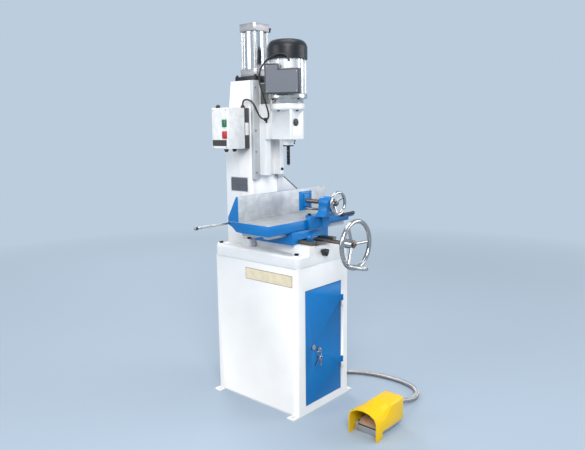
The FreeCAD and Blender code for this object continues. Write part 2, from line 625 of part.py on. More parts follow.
# ---------------------------------------------------------------- switch box
def make_switch_box():
    keep(box(f"{SWITCH_BACK} - switch_base_depth", "switch_front", "switch_bottom",
             "switch_base_depth", "switch_width", "switch_height"), "switch_base")
    edges = [("0", "0"), ("switch_width", "0"), ("switch_width", "switch_height"),
             ("0", "switch_height")]
    cover = prism("YZ_Plane", edges, "switch_cover_depth", SWITCH_FACE, "switch_front",
                  "switch_bottom")
    soften(cover, "5", lambda edge: edge.BoundBox.XMax < 0.01)
    hollow = box(f"{SWITCH_FACE} + switch_wall", "switch_front + switch_wall",
                 "switch_bottom + switch_wall", "switch_cover_depth",
                 "switch_width - 2 * switch_wall", "switch_height - 2 * switch_wall")
    windows = [box(f"{SWITCH_FACE} - 1", "switch_front + button_from_front - button_width / 2 - 0.4",
                   f"switch_bottom + {up} - button_height / 2 - 0.4", "switch_wall + 2",
                   "button_width + 0.8", "button_height + 0.8") for up in ("start_up", "stop_up")]
    keep(cut(cover, hollow, *windows), "switch_cover")
    for name, up in (("start_button", "start_up"), ("stop_button", "stop_up")):
        y = "(switch_front + button_from_front - button_width / 2)"
        cap = box(f"{SWITCH_FACE} - button_proud", y, f"switch_bottom + {up} - button_height / 2",
                  "button_proud + 14", "button_width", "button_height")
        rim = box(f"{SWITCH_FACE} + switch_wall + 0.3", f"{y} - 2",
                  f"switch_bottom + {up} - button_height / 2 - 2", "4", "button_width + 4",
                  "button_height + 4")
        stem = box(f"{SWITCH_FACE} + 14", f"{y} + 7", f"switch_bottom + {up} - 4",
                   "switch_cover_depth - 14 - button_travel - 1", "8", "8")
        keep(fuse(cap, rim, stem), name)
    glands = []
    for out, along, z, way in (("gland_lead", "gland_in", SWITCH_TOP, 1),
                               ("gland_far", "gland_far_in", SWITCH_TOP, 1),
                               ("gland_near", "gland_low_in", "switch_bottom", -1),
                               ("gland_low_far", "gland_low_in", "switch_bottom", -1)):
        x, y = f"{SWITCH_BACK} - {out}", f"switch_front + {along}"
        start = z if way > 0 else f"{z} - gland_length"
        nut_z = z if way > 0 else f"{z} - 8"
        glands.append(fuse(rod("Z", x, y, start, "gland_radius - 2.5", "gland_length"),
                           rod("Z", x, y, nut_z, "gland_radius", "8")))
    glands.append(rod("X", "cabinet_width / 2", "conduit_y", "conduit_z",
                      "conduit_diameter / 2 + 4", "24"))
    glands.append(rod("X", "foot_left + foot_length", "foot_y + foot_gland_shift",
                      "foot_gland_z", "conduit_diameter / 2 + 4", "24"))
    keep(group(*glands, *FITTINGS), "glands_and_fittings")


# ---------------------------------------------------------------- head
def make_head_slide():
    mouth = "(guide_mouth_half - 0.3)"
    flared = "(guide_mouth_half + guide_flare - 0.3)"
    points = [("rib_outer", "rib_front"), ("rib_outer", GUIDE_FRONT), (mouth, GUIDE_FRONT),
              (flared, "column_front - 0.3")]
    profile = [("rib_inner", "slide_web"), ("rib_inner", "rib_front")] + points
    mirrored = [(f"-{u}", v) for u, v in reversed(profile)]
    column_slide = prism("XY_Plane", profile + mirrored, "slide_height", z=SLIDE_BOTTOM)
    bracket = box("-bracket_width / 2", "column_front - 1", BRACKET_BOTTOM, "bracket_width",
                  "cylinder_y + 22 - column_front", "bracket_thick")
    hole = rod("Z", "0", "cylinder_y", f"{BRACKET_BOTTOM} - 1", "rod_radius",
               "bracket_thick + 2")
    tapped = rod("Y", "(rib_inner + rib_outer) / 2", "rib_front - 1", "slide_bottom + 22", "4",
                 "14")
    keep(cut(fuse(column_slide, bracket), hole, tapped), "head_slide")


def make_head_casting():
    half = "head_width / 2"
    body = prism("XY_Plane", [(f"-{half}", "head_front"), (half, "head_front"),
                              (half, "head_back"), (f"-{half}", "head_back")],
                 "head_height + 2", z="head_bottom")
    soften(body, "head_corner", runs_along("Z"))
    plate = box("-head_plate_half", "rib_front - head_plate_thick", "head_bottom",
                "2 * head_plate_half", "head_plate_thick",
                "head_height + head_disc_height")
    disc = turning([("0", "0"), ("head_disc_radius - 6", "0"), ("head_disc_radius", "6"),
                    ("head_disc_radius", "head_disc_height"), ("0", "head_disc_height")],
                   "0", "spindle_y", f"{HEAD_TOP} - head_disc_height")
    nose = cone("Z", "0", "spindle_y", NOSE_END, "nose_end_radius", "nose_top_radius",
                "nose_height + 1")
    bore = rod("Z", "0", "spindle_y", "head_bottom + head_floor", "head_bore",
               "head_height + head_disc_height")
    seat = rod("Z", "0", "spindle_y", f"{NOSE_END} - 1", "bush_radius", "60")
    access = rod("Y", "plug_shift", "head_front - 1", "head_bottom + plug_up", "plug_hole", "30")
    keep(cut(fuse(body, plate, disc, nose), bore, seat, access), "head_casting")

    plug = fuse(rod("Y", "plug_shift", "head_front - 4", "head_bottom + plug_up", "plug_rim", "4"),
                rod("Y", "plug_shift", "head_front", "head_bottom + plug_up", "plug_hole", "7"))
    keep(plug, "access_plug")


def make_chisel_set():
    bush = turning([("shank_radius", "-bush_rim_thick"), ("bush_rim", "-bush_rim_thick"),
                    ("bush_rim", "0"), ("bush_radius", "0"), ("bush_radius", "bush_length"),
                    ("shank_radius", "bush_length")], "0", "spindle_y", NOSE_END)
    keep(bush, "chisel_bush")

    top = f"({NOSE_END} + shank_length)"
    blade = mid_box("0", "spindle_y", CHISEL_TIP, "chisel_side", "chisel_side",
                    "chisel_length - 1")
    shank = rod("Z", "0", "spindle_y", f"{CHISEL_TIP} + chisel_length - 1", "shank_radius",
                "shank_length + 3")
    bore = rod("Z", "0", "spindle_y", f"{CHISEL_TIP} - 1", "bit_radius + bit_clearance",
               "chisel_length + shank_length + 9")
    mouth = cone("Z", "0", "spindle_y", f"{CHISEL_TIP} - 0.5", "chisel_side / 2 + 2.2",
                 "bit_radius + bit_clearance", "7")
    window = box("-chisel_side", "spindle_y - bit_radius + 1", f"{CHISEL_TIP} + chip_window_up",
                 "chisel_side", "2 * bit_radius - 2", "chip_window_height")
    keep(cut(fuse(blade, shank), bore, mouth, window), "hollow_chisel")

    chuck_top = f"({NOSE_END} + bush_length + 6 + chuck_length)"
    chuck = turning([("bit_radius", "0"), ("chuck_radius - 8", "0"), ("chuck_radius", "12"),
                     ("chuck_radius", "chuck_length"), ("shaft_radius", "chuck_length"),
                     ("shaft_radius", "chuck_length - 24"), ("bit_radius", "chuck_length - 24")],
                    "0", "spindle_y", f"{chuck_top} - chuck_length")
    keep(chuck, "drill_chuck")

    tip = f"({CHISEL_TIP} - bit_proud)"
    bit_top = f"({chuck_top} - 26)"
    stem = rod("Z", "0", "spindle_y", f"{tip} + flute_length", "bit_radius",
               f"{bit_top} - {tip} - flute_length")
    core = rod("Z", "0", "spindle_y", tip, "bit_radius * 0.4", "flute_length + 1")
    flute = doc.addObject("Part::Feature", "flutes")
    flute.Shape = auger_flutes(size("bit_radius"), size("flute_length"))
    place(flute, "0", "spindle_y", tip)
    keep(fuse(stem, core, flute), "auger_bit")

    shaft_foot = f"({chuck_top} - 24)"
    low = f"({MOTOR_BOTTOM} + 14 - {shaft_foot})"
    high = f"({MOTOR_TOP} + 34 - {shaft_foot})"
    rotor = turning([("0", "0"), ("shaft_radius", "0"), ("shaft_radius", low),
                     ("core_radius", low), ("core_radius", f"{low} + core_length"),
                     ("shaft_radius", f"{low} + core_length"), ("shaft_radius", high),
                     ("0", high)], "0", "spindle_y", shaft_foot)
    keep(rotor, "rotor_shaft")


def auger_flutes(radius, height):
    """Two flat lands twisted round the bit's core, made of short turned steps."""
    turns, steps = 2.5, 15
    sections = []
    for k in range(steps + 1):
        angle = 360 * turns * k / steps
        land = Part.makePolygon([V(-radius, -0.7, 0), V(radius, -0.7, 0), V(radius, 0.7, 0),
                                 V(-radius, 0.7, 0), V(-radius, -0.7, 0)])
        land.rotate(V(), V(0, 0, 1), angle)
        land.translate(V(0, 0, height * k / steps))
        sections.append(land)
    twist = Part.makeLoft(sections, True, True)
    return twist.common(Part.makeCylinder(radius, height))


# ---------------------------------------------------------------- motor
def make_motor():
    shaft = "shaft_radius + 0.05"
    shield = turning([(shaft, "-6"), ("head_bore - 0.1", "-6"), ("head_bore - 0.1", "0"),
                      ("shield_low_radius - 2", "0"), ("shield_low_radius", "2"),
                      ("shield_low_radius", "17"), ("shield_radius - 2", "20"),
                      ("shield_radius", "22"), ("shield_radius", "shield_height - 4"),
                      ("shield_radius - 3", "shield_height"), ("motor_bore", "shield_height"),
                      ("motor_bore", "shield_height - 10"), (shaft, "shield_height - 10")],
                     "0", "spindle_y", HEAD_TOP)
    side, far = "(terminal_shift + terminal_width / 2)", "(terminal_shift - terminal_width / 2)"
    flat = turned(box("-terminal_from - terminal_depth", f"{far} - 1", "-0.2",
                      "terminal_depth + 0.2", "terminal_width + 2", "terminal_height"),
                  V(0, 0, 1), "terminal_turn", "0", "spindle_y", "terminal_bottom")
    keep(cut(shield, flat), "motor_end_shield")

    body = doc.addObject("PartDesign::Body", "body")
    frame = body.newObject("PartDesign::Revolution", "frame")
    sketch = outline(body, "XZ_Plane", [
        ("motor_bore", "0"), ("motor_radius", "0"), ("motor_radius", "motor_height"),
        (shaft, "motor_height"), (shaft, "motor_height - motor_cap"),
        ("motor_bore", "motor_height - motor_cap")])
    frame.Profile = sketch
    frame.ReferenceAxis = (sketch, ["V_Axis"])
    frame.Angle = 360
    fin = body.newObject("PartDesign::Pad", "fin")
    fin.Profile = outline(body, "XY_Plane", [
        ("motor_radius - 1", "-fin_thick / 2"), ("motor_radius + fin_height", "-fin_thick / 2 + 0.5"),
        ("motor_radius + fin_height", "fin_thick / 2 - 0.5"), ("motor_radius - 1", "fin_thick / 2")])
    bind(fin, Length="motor_height - 4")
    doc.recompute()
    pattern = body.newObject("PartDesign::PolarPattern", "fins")
    pattern.Originals = [fin]
    pattern.Axis = (sketch, ["V_Axis"])
    pattern.Angle = 360
    bind(pattern, Occurrences="fin_count")
    body.Tip = pattern
    keep(place(body, "0", "spindle_y", MOTOR_BOTTOM), "motor_housing")

    top, wall = "(cowl_height + cowl_skirt)", "cowl_wall"
    cowl = turning([("cowl_radius - cowl_wall", "0"), ("cowl_radius", "0"),
                    ("cowl_radius", f"{top} - cowl_dome"),
                    ("cowl_radius - 3", f"{top} - cowl_dome * 0.62"),
                    ("cowl_radius - 9", f"{top} - cowl_dome * 0.32"),
                    ("cowl_radius - 19", f"{top} - cowl_dome * 0.12"),
                    ("cowl_radius - 34", top), ("0", top), ("0", f"{top} - {wall}"),
                    ("cowl_radius - 34", f"{top} - {wall}"),
                    ("cowl_radius - 20", f"{top} - cowl_dome * 0.12 - {wall}"),
                    ("cowl_radius - 11", f"{top} - cowl_dome * 0.32 - {wall}"),
                    ("cowl_radius - 5", f"{top} - cowl_dome * 0.62 - {wall}"),
                    ("cowl_radius - cowl_wall", f"{top} - cowl_dome - {wall}")],
                   "0", "spindle_y", f"{MOTOR_TOP} - cowl_skirt")
    seat = turning([("motor_radius", "0"), ("cowl_radius - 1", "0"),
                    ("cowl_radius - 1", "cowl_skirt - 1"), ("motor_radius", "cowl_skirt - 1")],
                   "0", "spindle_y", f"{MOTOR_TOP} - 4")
    keep(fuse(cowl, seat), "fan_cowl")

    fan_z = f"{MOTOR_TOP} + 8"
    hub = rod("Z", "0", "spindle_y", fan_z, "shaft_radius + 6", "22")
    disc = rod("Z", "0", "spindle_y", fan_z, "motor_bore", "3")
    blades = [turned(box("shaft_radius + 3", "-1.5", "0", "motor_bore - 16", "3", "20"),
                     V(0, 0, 1), str(45 * k), "0", "spindle_y", fan_z) for k in range(8)]
    bore = rod("Z", "0", "spindle_y", f"{fan_z} - 1", "shaft_radius", "30")
    keep(cut(fuse(hub, disc, *blades), bore), "cooling_fan")

    lid = prism("YZ_Plane", [(far, "0"), (side, "0"), (side, "terminal_height"),
                             (f"{side} - terminal_ledge + 6", "terminal_height"),
                             (f"{side} - terminal_ledge", "terminal_height - 6"),
                             (f"{side} - terminal_ledge", "terminal_height - terminal_step + 6"),
                             (f"{side} - terminal_ledge - 6", "terminal_height - terminal_step"),
                             (far, "terminal_height - terminal_step")],
                "terminal_depth", x="-terminal_from - terminal_depth")
    soften(lid, "4", lambda edge: edge.BoundBox.XMax < 0.01)
    keep(turned(lid, V(0, 0, 1), "terminal_turn", "0", "spindle_y", "terminal_bottom"),
         "terminal_box")
    gland_z = "(terminal_height - terminal_step)"
    gland = fuse(rod("Z", "-terminal_from - terminal_depth / 2", "-terminal_gland_side", gland_z,
                     "gland_radius + 1", "12"),
                 rod("Z", "-terminal_from - terminal_depth / 2", "-terminal_gland_side",
                     f"{gland_z} + 12", "gland_radius - 1", "14"))
    keep(turned(gland, V(0, 0, 1), "terminal_turn", "0", "spindle_y", "terminal_bottom"),
         "motor_gland")

    clip_x, clip_y = "(-head_plate_half - clip_radius)", "(rib_front - head_plate_thick + 4)"
    band = rod("Y", clip_x, f"{clip_y} - 4", "head_bottom + 80", "clip_radius", "8")
    eye = rod("Y", clip_x, f"{clip_y} - 5", "head_bottom + 80", "clip_radius - 2.5", "10")
    foot = box("-head_plate_half - 3", f"{clip_y} - 4", "head_bottom + 66", "3", "8", "18")
    keep(fuse(cut(band, eye), foot), "lead_clip")


# ---------------------------------------------------------------- saddle and table
def make_saddle():
    half = "saddle_width / 2"
    plate = box(f"-{half}", "saddle_front", WAY_FOOT, "saddle_width", "saddle_length",
                f"{SADDLE_FLOOR} - {WAY_FOOT}")
    front_lip = prism("YZ_Plane", [
        ("saddle_front", "0"), ("tail_front - slip - 5", "0"),
        ("tail_front - slip", "saddle_lip"), ("saddle_front", "saddle_lip")],
        "saddle_width", x=f"-{half}", z=SADDLE_FLOOR)
    rear_lip = prism("YZ_Plane", [
        ("tail_back + gib_thick + slip + 5", "0"),
        ("saddle_front + saddle_length", "0"),
        ("saddle_front + saddle_length", "saddle_lip"), ("tail_back + gib_thick + slip", "saddle_lip")],
        "saddle_width", x=f"-{half}", z=SADDLE_FLOOR)
    web = box("-web_half", "saddle_front", "shaft_z - hub_radius - 0.8", "2 * web_half",
              "saddle_length - 60", f"{WAY_TOP} + 2.8 - shaft_z + hub_radius")
    hub = rod("Y", "0", "saddle_front - hub_reach", "shaft_z", "hub_radius", "hub_reach + 2")
    top = "(dovetail_top_half + slip)"
    foot = "(dovetail_top_half - dovetail_inset + slip)"
    right = f"({top} + gib_thick)"
    right_foot = f"({foot} + gib_thick)"
    under = prism("XZ_Plane", [(f"-{foot}", "-1"), (right_foot, "-1"), (right_foot, "0"),
                               (right, "dovetail_height - 3"), (right, "dovetail_height + 0.1"),
                               (f"-{top}", "dovetail_height + 0.1"),
                               (f"-{top}", "dovetail_height - 3"), (f"-{foot}", "0")],
                  "saddle_length + 2", y="saddle_front - 1", z=WAY_FOOT)
    pocket = box("-web_half + 3", "pinion_y - pinion_pocket / 2", "shaft_z - hub_radius - 1",
                 "2 * web_half - 6", "pinion_pocket", "60")
    groove = box(f"-{half} - 1", "pinion_y - pinion_face / 2 - 1",
                 f"{RACK_PITCH_Z} - gear_module - 1.5", "saddle_width + 2",
                 "pinion_face + 2", "40")
    bore = rod("Y", "0", "saddle_front - hub_reach - 1", "shaft_z",
               "feed_shaft_radius + bush_wall", "saddle_length - 60 + hub_reach + 2")
    nut_seat = rod("Z", "cross_x", "saddle_front + saddle_length - 38", f"{WAY_TOP} - 1", "8",
                   "saddle_floor + 2")
    body = cut(fuse(plate, front_lip, rear_lip), under)
    keep(cut(fuse(body, web, hub), pocket, groove, bore, nut_seat), "saddle")

    low = ("(dovetail_top_half - dovetail_inset + slip"
           " + dovetail_inset * 0.3 / (dovetail_height - 3))")
    high = "(dovetail_top_half + slip)"
    gib = prism("XZ_Plane", [(low, "0.3"), (f"{low} + gib_thick - 0.1", "0.3"),
                             (f"{high} + gib_thick - 0.1", "dovetail_height - 3"),
                             (f"{high} + gib_thick - 0.1", "dovetail_height - 0.2"),
                             (high, "dovetail_height - 0.2"), (high, "dovetail_height - 3")],
                "saddle_length - 4", y="saddle_front + 2", z=WAY_FOOT)
    strip = prism("YZ_Plane", [("tail_back + slip + 5", "0.3"),
                               ("tail_back + slip + gib_thick + 4.9", "0.3"),
                               ("tail_back + slip + gib_thick - 0.1", "saddle_lip - 0.2"),
                               ("tail_back + slip", "saddle_lip - 0.2")],
                  "saddle_width - 4", x=f"-{half} + 2", z=SADDLE_FLOOR)
    keep(group(gib, strip), "saddle_gibs")

    outer, inner = "feed_shaft_radius + bush_wall", "feed_shaft_radius + 0.05"
    front_bush = turning([(inner, "0"), (outer, "0"), (outer, "40"), (inner, "40")],
                         "0", "saddle_front - hub_reach", "shaft_z", "Y")
    rear_bush = turning([(inner, "0"), (outer, "0"), (outer, "24"), (inner, "24")],
                        "0", "pinion_y + pinion_pocket / 2", "shaft_z", "Y")
    nut_y = "(saddle_front + saddle_length - 38)"
    block = box("cross_x - nut_half", f"{nut_y} - nut_length / 2", "cross_z - nut_half", "2 * nut_half",
                "nut_length", f"{WAY_TOP} + 0.1 - cross_z + nut_half")
    peg = rod("Z", "cross_x", nut_y, f"{WAY_TOP} - 2", "8", "saddle_floor - 1")
    thread = rod("Y", "cross_x", f"{nut_y} - 40", "cross_z", "cross_screw_radius + 0.05", "80")
    keep(group(front_bush, rear_bush, cut(fuse(block, peg), thread)), "bushes_and_nut")


def make_cross_feed():
    front = f"({BED_FRONT} - 1)"
    length = "way_length - 20"
    screw = rod("Y", "cross_x", front, "cross_z", "cross_screw_radius", length)
    collar = rod("Y", "cross_x", f"{BED_FRONT} + channel_wall + 0.3", "cross_z",
                 "cross_screw_radius + 4", "8")
    keep(fuse(screw, collar), "cross_screw")
    core = rod("Y", "cross_x", f"{front} - knob_length - 4", "cross_z", "cross_knob_radius * 0.62",
               "knob_length + 4")
    lobes = [turned(rod("Y", "cross_knob_radius * 0.55", "0", "0", "cross_knob_radius * 0.45",
                        "knob_length"), V(0, 1, 0), str(90 + 120 * k), "cross_x",
                    f"{front} - knob_length - 2", "cross_z") for k in range(3)]
    keep(fuse(core, *lobes), "cross_knob")


def make_table():
    front = "table_front"
    body = prism("YZ_Plane", [(front, f"-table_depth + 4"), (f"{front} + 4", "-table_depth"),
                              ("-20", "-table_depth"), ("16", "-table_depth + 3"),
                              ("22", "-table_depth + 9"), ("38", "-21"), ("56", "-14"),
                              ("table_back", "-9"), ("table_back", "0"), (front, "0")],
                 TABLE_LENGTH, x="table_left", z="table_top")
    tail = prism("YZ_Plane", [("tail_front", "1"), ("tail_front", "0"),
                              ("tail_front - 5", "-saddle_lip + 0.3"),
                              ("tail_back + 5", "-saddle_lip + 0.3"), ("tail_back", "0"),
                              ("tail_back", "1")],
                 f"{TABLE_LENGTH} - 60", x="table_left + 30", z=TABLE_UNDER)
    slot = box("table_left + 29", "pinion_y - pinion_face / 2 - 0.3",
               f"{RACK_PITCH_Z} - 8", f"{TABLE_LENGTH} - 58", "pinion_face + 0.6",
               "8 + gear_module * 1.25 + rack_back")
    taper = prism("XZ_Plane", [("120", "-0.1"), (f"{TABLE_LENGTH} + 1", "22"),
                               (f"{TABLE_LENGTH} + 1", "-1"), ("120", "-1")],
                  "30", x="table_left", y="table_front - 1", z=TABLE_UNDER)
    stop_bore = rod("X", "table_left - 1", "stop_rod_y", "table_top - stop_rod_down",
                    "stop_rod_radius + 0.05", "stop_rod_bore")
    keep(cut(fuse(body, tail), slot, stop_bore, cut(taper, box("table_left", "table_front - 5", TABLE_UNDER,
                                                    "300", "40", "30"))), "table")

    rib = [("0", "0"), ("table_back", "0"), ("table_back", "fence_foot"),
           ("14", "fence_height - 2"), ("13", "fence_height"), ("0", "fence_height")]
    plate = box("table_left + 2", "0", "table_top", f"{TABLE_LENGTH} + 1", "fence_plate",
                "fence_height")
    foot = box("table_left + 2", "0", "table_top", f"{TABLE_LENGTH} + 1", "table_back",
               "fence_foot")
    ribs = [prism("YZ_Plane", rib, "fence_rib", x=x, z="table_top") for x in
            ("table_left + 2", "table_right + 3 - fence_rib")]
    keep(fuse(plate, foot, *ribs), "fence")


def make_gears():
    """Pinion cut from the feed shaft and the rack that it drives."""
    tip = f"({PITCH_RADIUS} + gear_module)"
    root = f"({PITCH_RADIUS} - 1.25 * gear_module)"
    body = doc.addObject("PartDesign::Body", "body")
    blank = body.newObject("PartDesign::Revolution", "blank")
    face = "pinion_face / 2"
    sketch = outline(body, "XZ_Plane", [
        ("0", f"-{face} - 28"), ("feed_shaft_radius", f"-{face} - 28"),
        ("feed_shaft_radius", f"-{face}"), (tip, f"-{face}"), (tip, face),
        ("feed_shaft_radius", face), ("feed_shaft_radius", "pinion_y - wheel_y - 6"),
        ("0", "pinion_y - wheel_y - 6")])
    blank.Profile = sketch
    blank.ReferenceAxis = (sketch, ["V_Axis"])
    blank.Angle = 360
    doc.recompute()
    gap = body.newObject("PartDesign::Pocket", "tooth_gap")
    gap.Profile = outline(body, "XY_Plane", [
        (f"{root}", "-0.56 * gear_module - backlash"),
        (f"{PITCH_RADIUS} * 0.94", "-0.63 * gear_module - backlash"),
        (f"{tip}", "-1.43 * gear_module - backlash"),
        (f"{tip} + 1", "-1.7 * gear_module - backlash"),
        (f"{tip} + 1", "1.7 * gear_module + backlash"),
        (f"{tip}", "1.43 * gear_module + backlash"),
        (f"{PITCH_RADIUS} * 0.94", "0.63 * gear_module + backlash"),
        (f"{root}", "0.56 * gear_module + backlash")])
    gap.Midplane = True
    bind(gap, Length="pinion_face + 2")
    doc.recompute()
    pattern = body.newObject("PartDesign::PolarPattern", "teeth")
    pattern.Originals = [gap]
    pattern.Axis = (sketch, ["V_Axis"])
    pattern.Angle = 360
    bind(pattern, Occurrences="pinion_teeth")
    body.Tip = pattern
    # The shaft runs towards the operator, so the body's height axis points to -Y.
    # A half tooth of turn puts a tooth, not a gap, straight up under the rack.
    body.Placement = FreeCAD.Placement(V(), FreeCAD.Rotation(V(1, 0, 0), 90).multiply(
        FreeCAD.Rotation(V(0, 0, 1), 90 + 180 / size("pinion_teeth"))))
    keep(place(body, "0", "pinion_y", "shaft_z"), "pinion_shaft")

    bar = doc.addObject("PartDesign::Body", "body")
    strip = bar.newObject("PartDesign::Pad", "strip")
    half = f"(rack_teeth * {TOOTH_PITCH} / 2)"
    strip.Profile = outline(bar, "XZ_Plane", [
        (f"-{half}", "-gear_module"), (half, "-gear_module"),
        (half, "1.25 * gear_module + rack_back"), (f"-{half}", "1.25 * gear_module + rack_back")])
    strip.Reversed = True
    bind(strip, Length="pinion_face")
    doc.recompute()
    notch = bar.newObject("PartDesign::Pocket", "notch")
    mid = f"(0.785398 * gear_module + backlash)"
    first = f"(-(rack_teeth - 1) * {TOOTH_PITCH} / 2)"
    notch.Profile = outline(bar, "XZ_Plane", [
        (f"{first} - {mid} + 1.25 * gear_module * 0.364", "1.25 * gear_module"),
        (f"{first} - {mid} - 1.1 * gear_module * 0.364", "-1.1 * gear_module"),
        (f"{first} + {mid} + 1.1 * gear_module * 0.364", "-1.1 * gear_module"),
        (f"{first} + {mid} - 1.25 * gear_module * 0.364", "1.25 * gear_module")])
    notch.Reversed = False
    notch.Midplane = False
    notch.Type = "ThroughAll"
    doc.recompute()
    if notch.Shape.Volume > strip.Shape.Volume - 1:
        notch.Reversed = True
    doc.recompute()
    row = bar.newObject("PartDesign::LinearPattern", "teeth")
    row.Originals = [notch]
    row.Direction = (notch.Profile[0], ["H_Axis"])
    bind(row, Length=f"(rack_teeth - 1) * {TOOTH_PITCH}", Occurrences="rack_teeth")
    bar.Tip = row
    keep(place(bar, "0", "pinion_y - pinion_face / 2", RACK_PITCH_Z), "rack")


def make_wheel(name, x, z, radius, rim, rim_y, hub_radius, hub_length, spoke, bore, first,
               stud=()):
    """A dished handwheel with a round rim, a hub and equal spokes."""
    hub_front = f"({rim_y} + 11)"
    hub = turning([(bore, "0"), (hub_radius, "0"), (f"{hub_radius} + 2", hub_length),
                   (bore, hub_length)], x, hub_front, z, "Y")
    hoop = ring("Y", x, rim_y, z, f"{radius} - {rim}", rim)
    arms = []
    count = int(size("spoke_count"))
    lean = math.degrees(math.atan2(14, size(radius) - size(hub_radius)))
    for k in range(count):
        arm = doc.addObject("Part::Cylinder", "spoke")
        arm.Placement = FreeCAD.Placement(V(), FreeCAD.Rotation(V(1, 0, 0), lean))
        bind(arm, Radius=spoke, Height=f"{radius} - {hub_radius} - {rim} + 5")
        place(arm, "0", "6", f"{hub_radius} - 3")
        arms.append(turned(arm, V(0, 1, 0), str(first + 360 / count * k), x, hub_front, z))
    pieces = cut(fuse(hub, hoop, *arms),
                 rod("Y", x, f"{hub_front} - 1", z, bore, f"{hub_length} + 2"))
    if stud:
        pieces = group(pieces, *stud)
    keep(pieces, name)


def make_handwheel():
    angle = math.radians(size("grip_angle"))
    across, up = math.cos(angle), math.sin(angle)
    x = f"(wheel_radius - wheel_rim) * {across:.5f}"
    z = f"shaft_z + (wheel_radius - wheel_rim) * {up:.5f}"
    start = "wheel_y - wheel_rim - 3"
    stud = rod("Y", x, f"{start} - grip_length - 3", z, "stud_radius", "grip_length + 6")
    head = rod("Y", x, f"{start} - grip_length - 5", z, "stud_radius + 2", "2")
    make_wheel("handwheel", "0", "shaft_z", "wheel_radius", "wheel_rim", "wheel_y",
               "wheel_hub_radius", "wheel_hub_length", "spoke_radius", "feed_shaft_radius", 90,
               [fuse(stud, head)])
    grip = turning([("stud_radius + 0.1", "0"), ("grip_radius - 3", "0"),
                    ("grip_radius - 0.5", "grip_length * 0.25"),
                    ("grip_radius", "grip_length * 0.45"),
                    ("grip_radius - 2.5", "grip_length * 0.8"),
                    ("grip_radius - 3", "grip_length - 2"), ("stud_radius + 0.1", "grip_length - 2")],
                   x, f"{start} - grip_length", z, "Y")
    keep(grip, "crank_grip")


def make_vise():
    x, z = "vise_x", "vise_z"
    base_top = "(table_top + vise_base_height)"
    front = "(table_front - vise_lip)"
    base = box(f"{x} - vise_base_width / 2", front, "table_top", "vise_base_width", "52",
               "vise_base_height")
    lip = box(f"{x} - vise_base_width / 2 - 36", front, f"{base_top} - vise_lip_drop - 11",
              "vise_base_width + 10", "vise_lip - 0.3", "vise_lip_drop + 11")
    nose = box(f"{x} - 22", f"{front} - 16", f"{base_top} - vise_lip_drop - 8", "46", "20",
               "vise_lip_drop + 8")
    rise = f"({z} - {base_top})"
    pedestal = prism("XZ_Plane", [("-44", "-2"), ("44", "-2"), ("44", "2"), ("36", "7"),
                                  ("30", "14"), ("26", "24"), ("22", rise), ("-22", rise),
                                  ("-26", "24"), ("-30", "14"), ("-36", "7"), ("-44", "2")],
                     "44", x, "vise_boss_back - vise_boss_length + 6", base_top)
    boss = rod("Y", x, "vise_boss_back - vise_boss_length", z, "vise_boss_radius",
               "vise_boss_length")
    screw_hole = rod("Y", x, "vise_boss_back - vise_boss_length - 1", z,
                     "vise_screw_radius + 0.05", "vise_boss_length + 2")
    rod_hole = rod("Y", x, "vise_boss_back - vise_boss_length - 30",
                   f"{z} - guide_rod_down", "guide_rod_radius + 0.05", "vise_boss_length + 80")
    keep(cut(fuse(base, lip, nose, pedestal, boss), screw_hole, rod_hole), "vise_body")

    back = "(jaw_face - jaw_thick)"
    pad = box(f"{x} - jaw_width / 2", back, f"{z} - jaw_height / 2", "jaw_width", "jaw_thick",
              "jaw_height")
    socket = rod("Y", x, f"{back} - 5", z, "vise_screw_radius + 6", "5")
    seat = rod("Y", x, f"{back} - 6", z, "vise_screw_radius + 0.1", "9")
    guide = rod("Y", x, f"{back} - guide_rod_length", f"{z} - guide_rod_down",
                "guide_rod_radius", "guide_rod_length + 3")
    keep(fuse(cut(fuse(pad, socket), seat), guide), "vise_jaw")

    keep(rod("Y", x, "small_wheel_y + 4", z, "vise_screw_radius",
             f"{back} + 2.7 - small_wheel_y - 4"), "vise_screw")
    make_wheel("vise_handwheel", x, z, "small_wheel_radius", "small_rim", "small_wheel_y",
               "small_hub_radius", "small_hub_length", "small_spoke_radius", "vise_screw_radius",
               62)


def make_stop_rod():
    """End stop for the work: a rod that slides in a bore in the table's left end."""
    shaft = rod("X", "table_left - stop_rod_reach", "stop_rod_y", "table_top - stop_rod_down",
                "stop_rod_radius", "stop_rod_reach + stop_rod_bore - 10")
    tip = rod("X", "table_left - stop_rod_reach - 14", "stop_rod_y",
              "table_top - stop_rod_down", "stop_rod_radius + 1.5", "14")
    keep(group(shaft, tip), "stop_rod")


def make_lock_lever():
    y, z = "table_front", "table_top - lever_down"
    hub = rod("Y", "lever_x", f"{y} - 16", z, "lever_hub", "15.7")
    arm = cone("X", "lever_x", f"{y} - 10", z, "4", "5", "lever_length - 40")
    grip = cone("X", "lever_x + lever_length - 50", f"{y} - 10", z, "5.5", "7.5", "42")
    end = rod("X", "lever_x + lever_length - 8", f"{y} - 10", z, "6", "4")
    keep(fuse(hub, arm, grip, end), "lock_lever")


# ---------------------------------------------------------------- foot switch
def arch(half, top, shoulder, steps=6):
    """Points of a portal: upright sides up to the shoulder, then a rounded crown."""
    points = [(f"-({half})", "0"), (f"{half}", "0")]
    for k in range(steps + 1):
        angle = math.radians(180 * k / steps)
        points.append((f"({half}) * {math.cos(angle):.5f}",
                       f"{shoulder} + (({top}) - ({shoulder})) * {math.sin(angle):.5f}"))
    return points


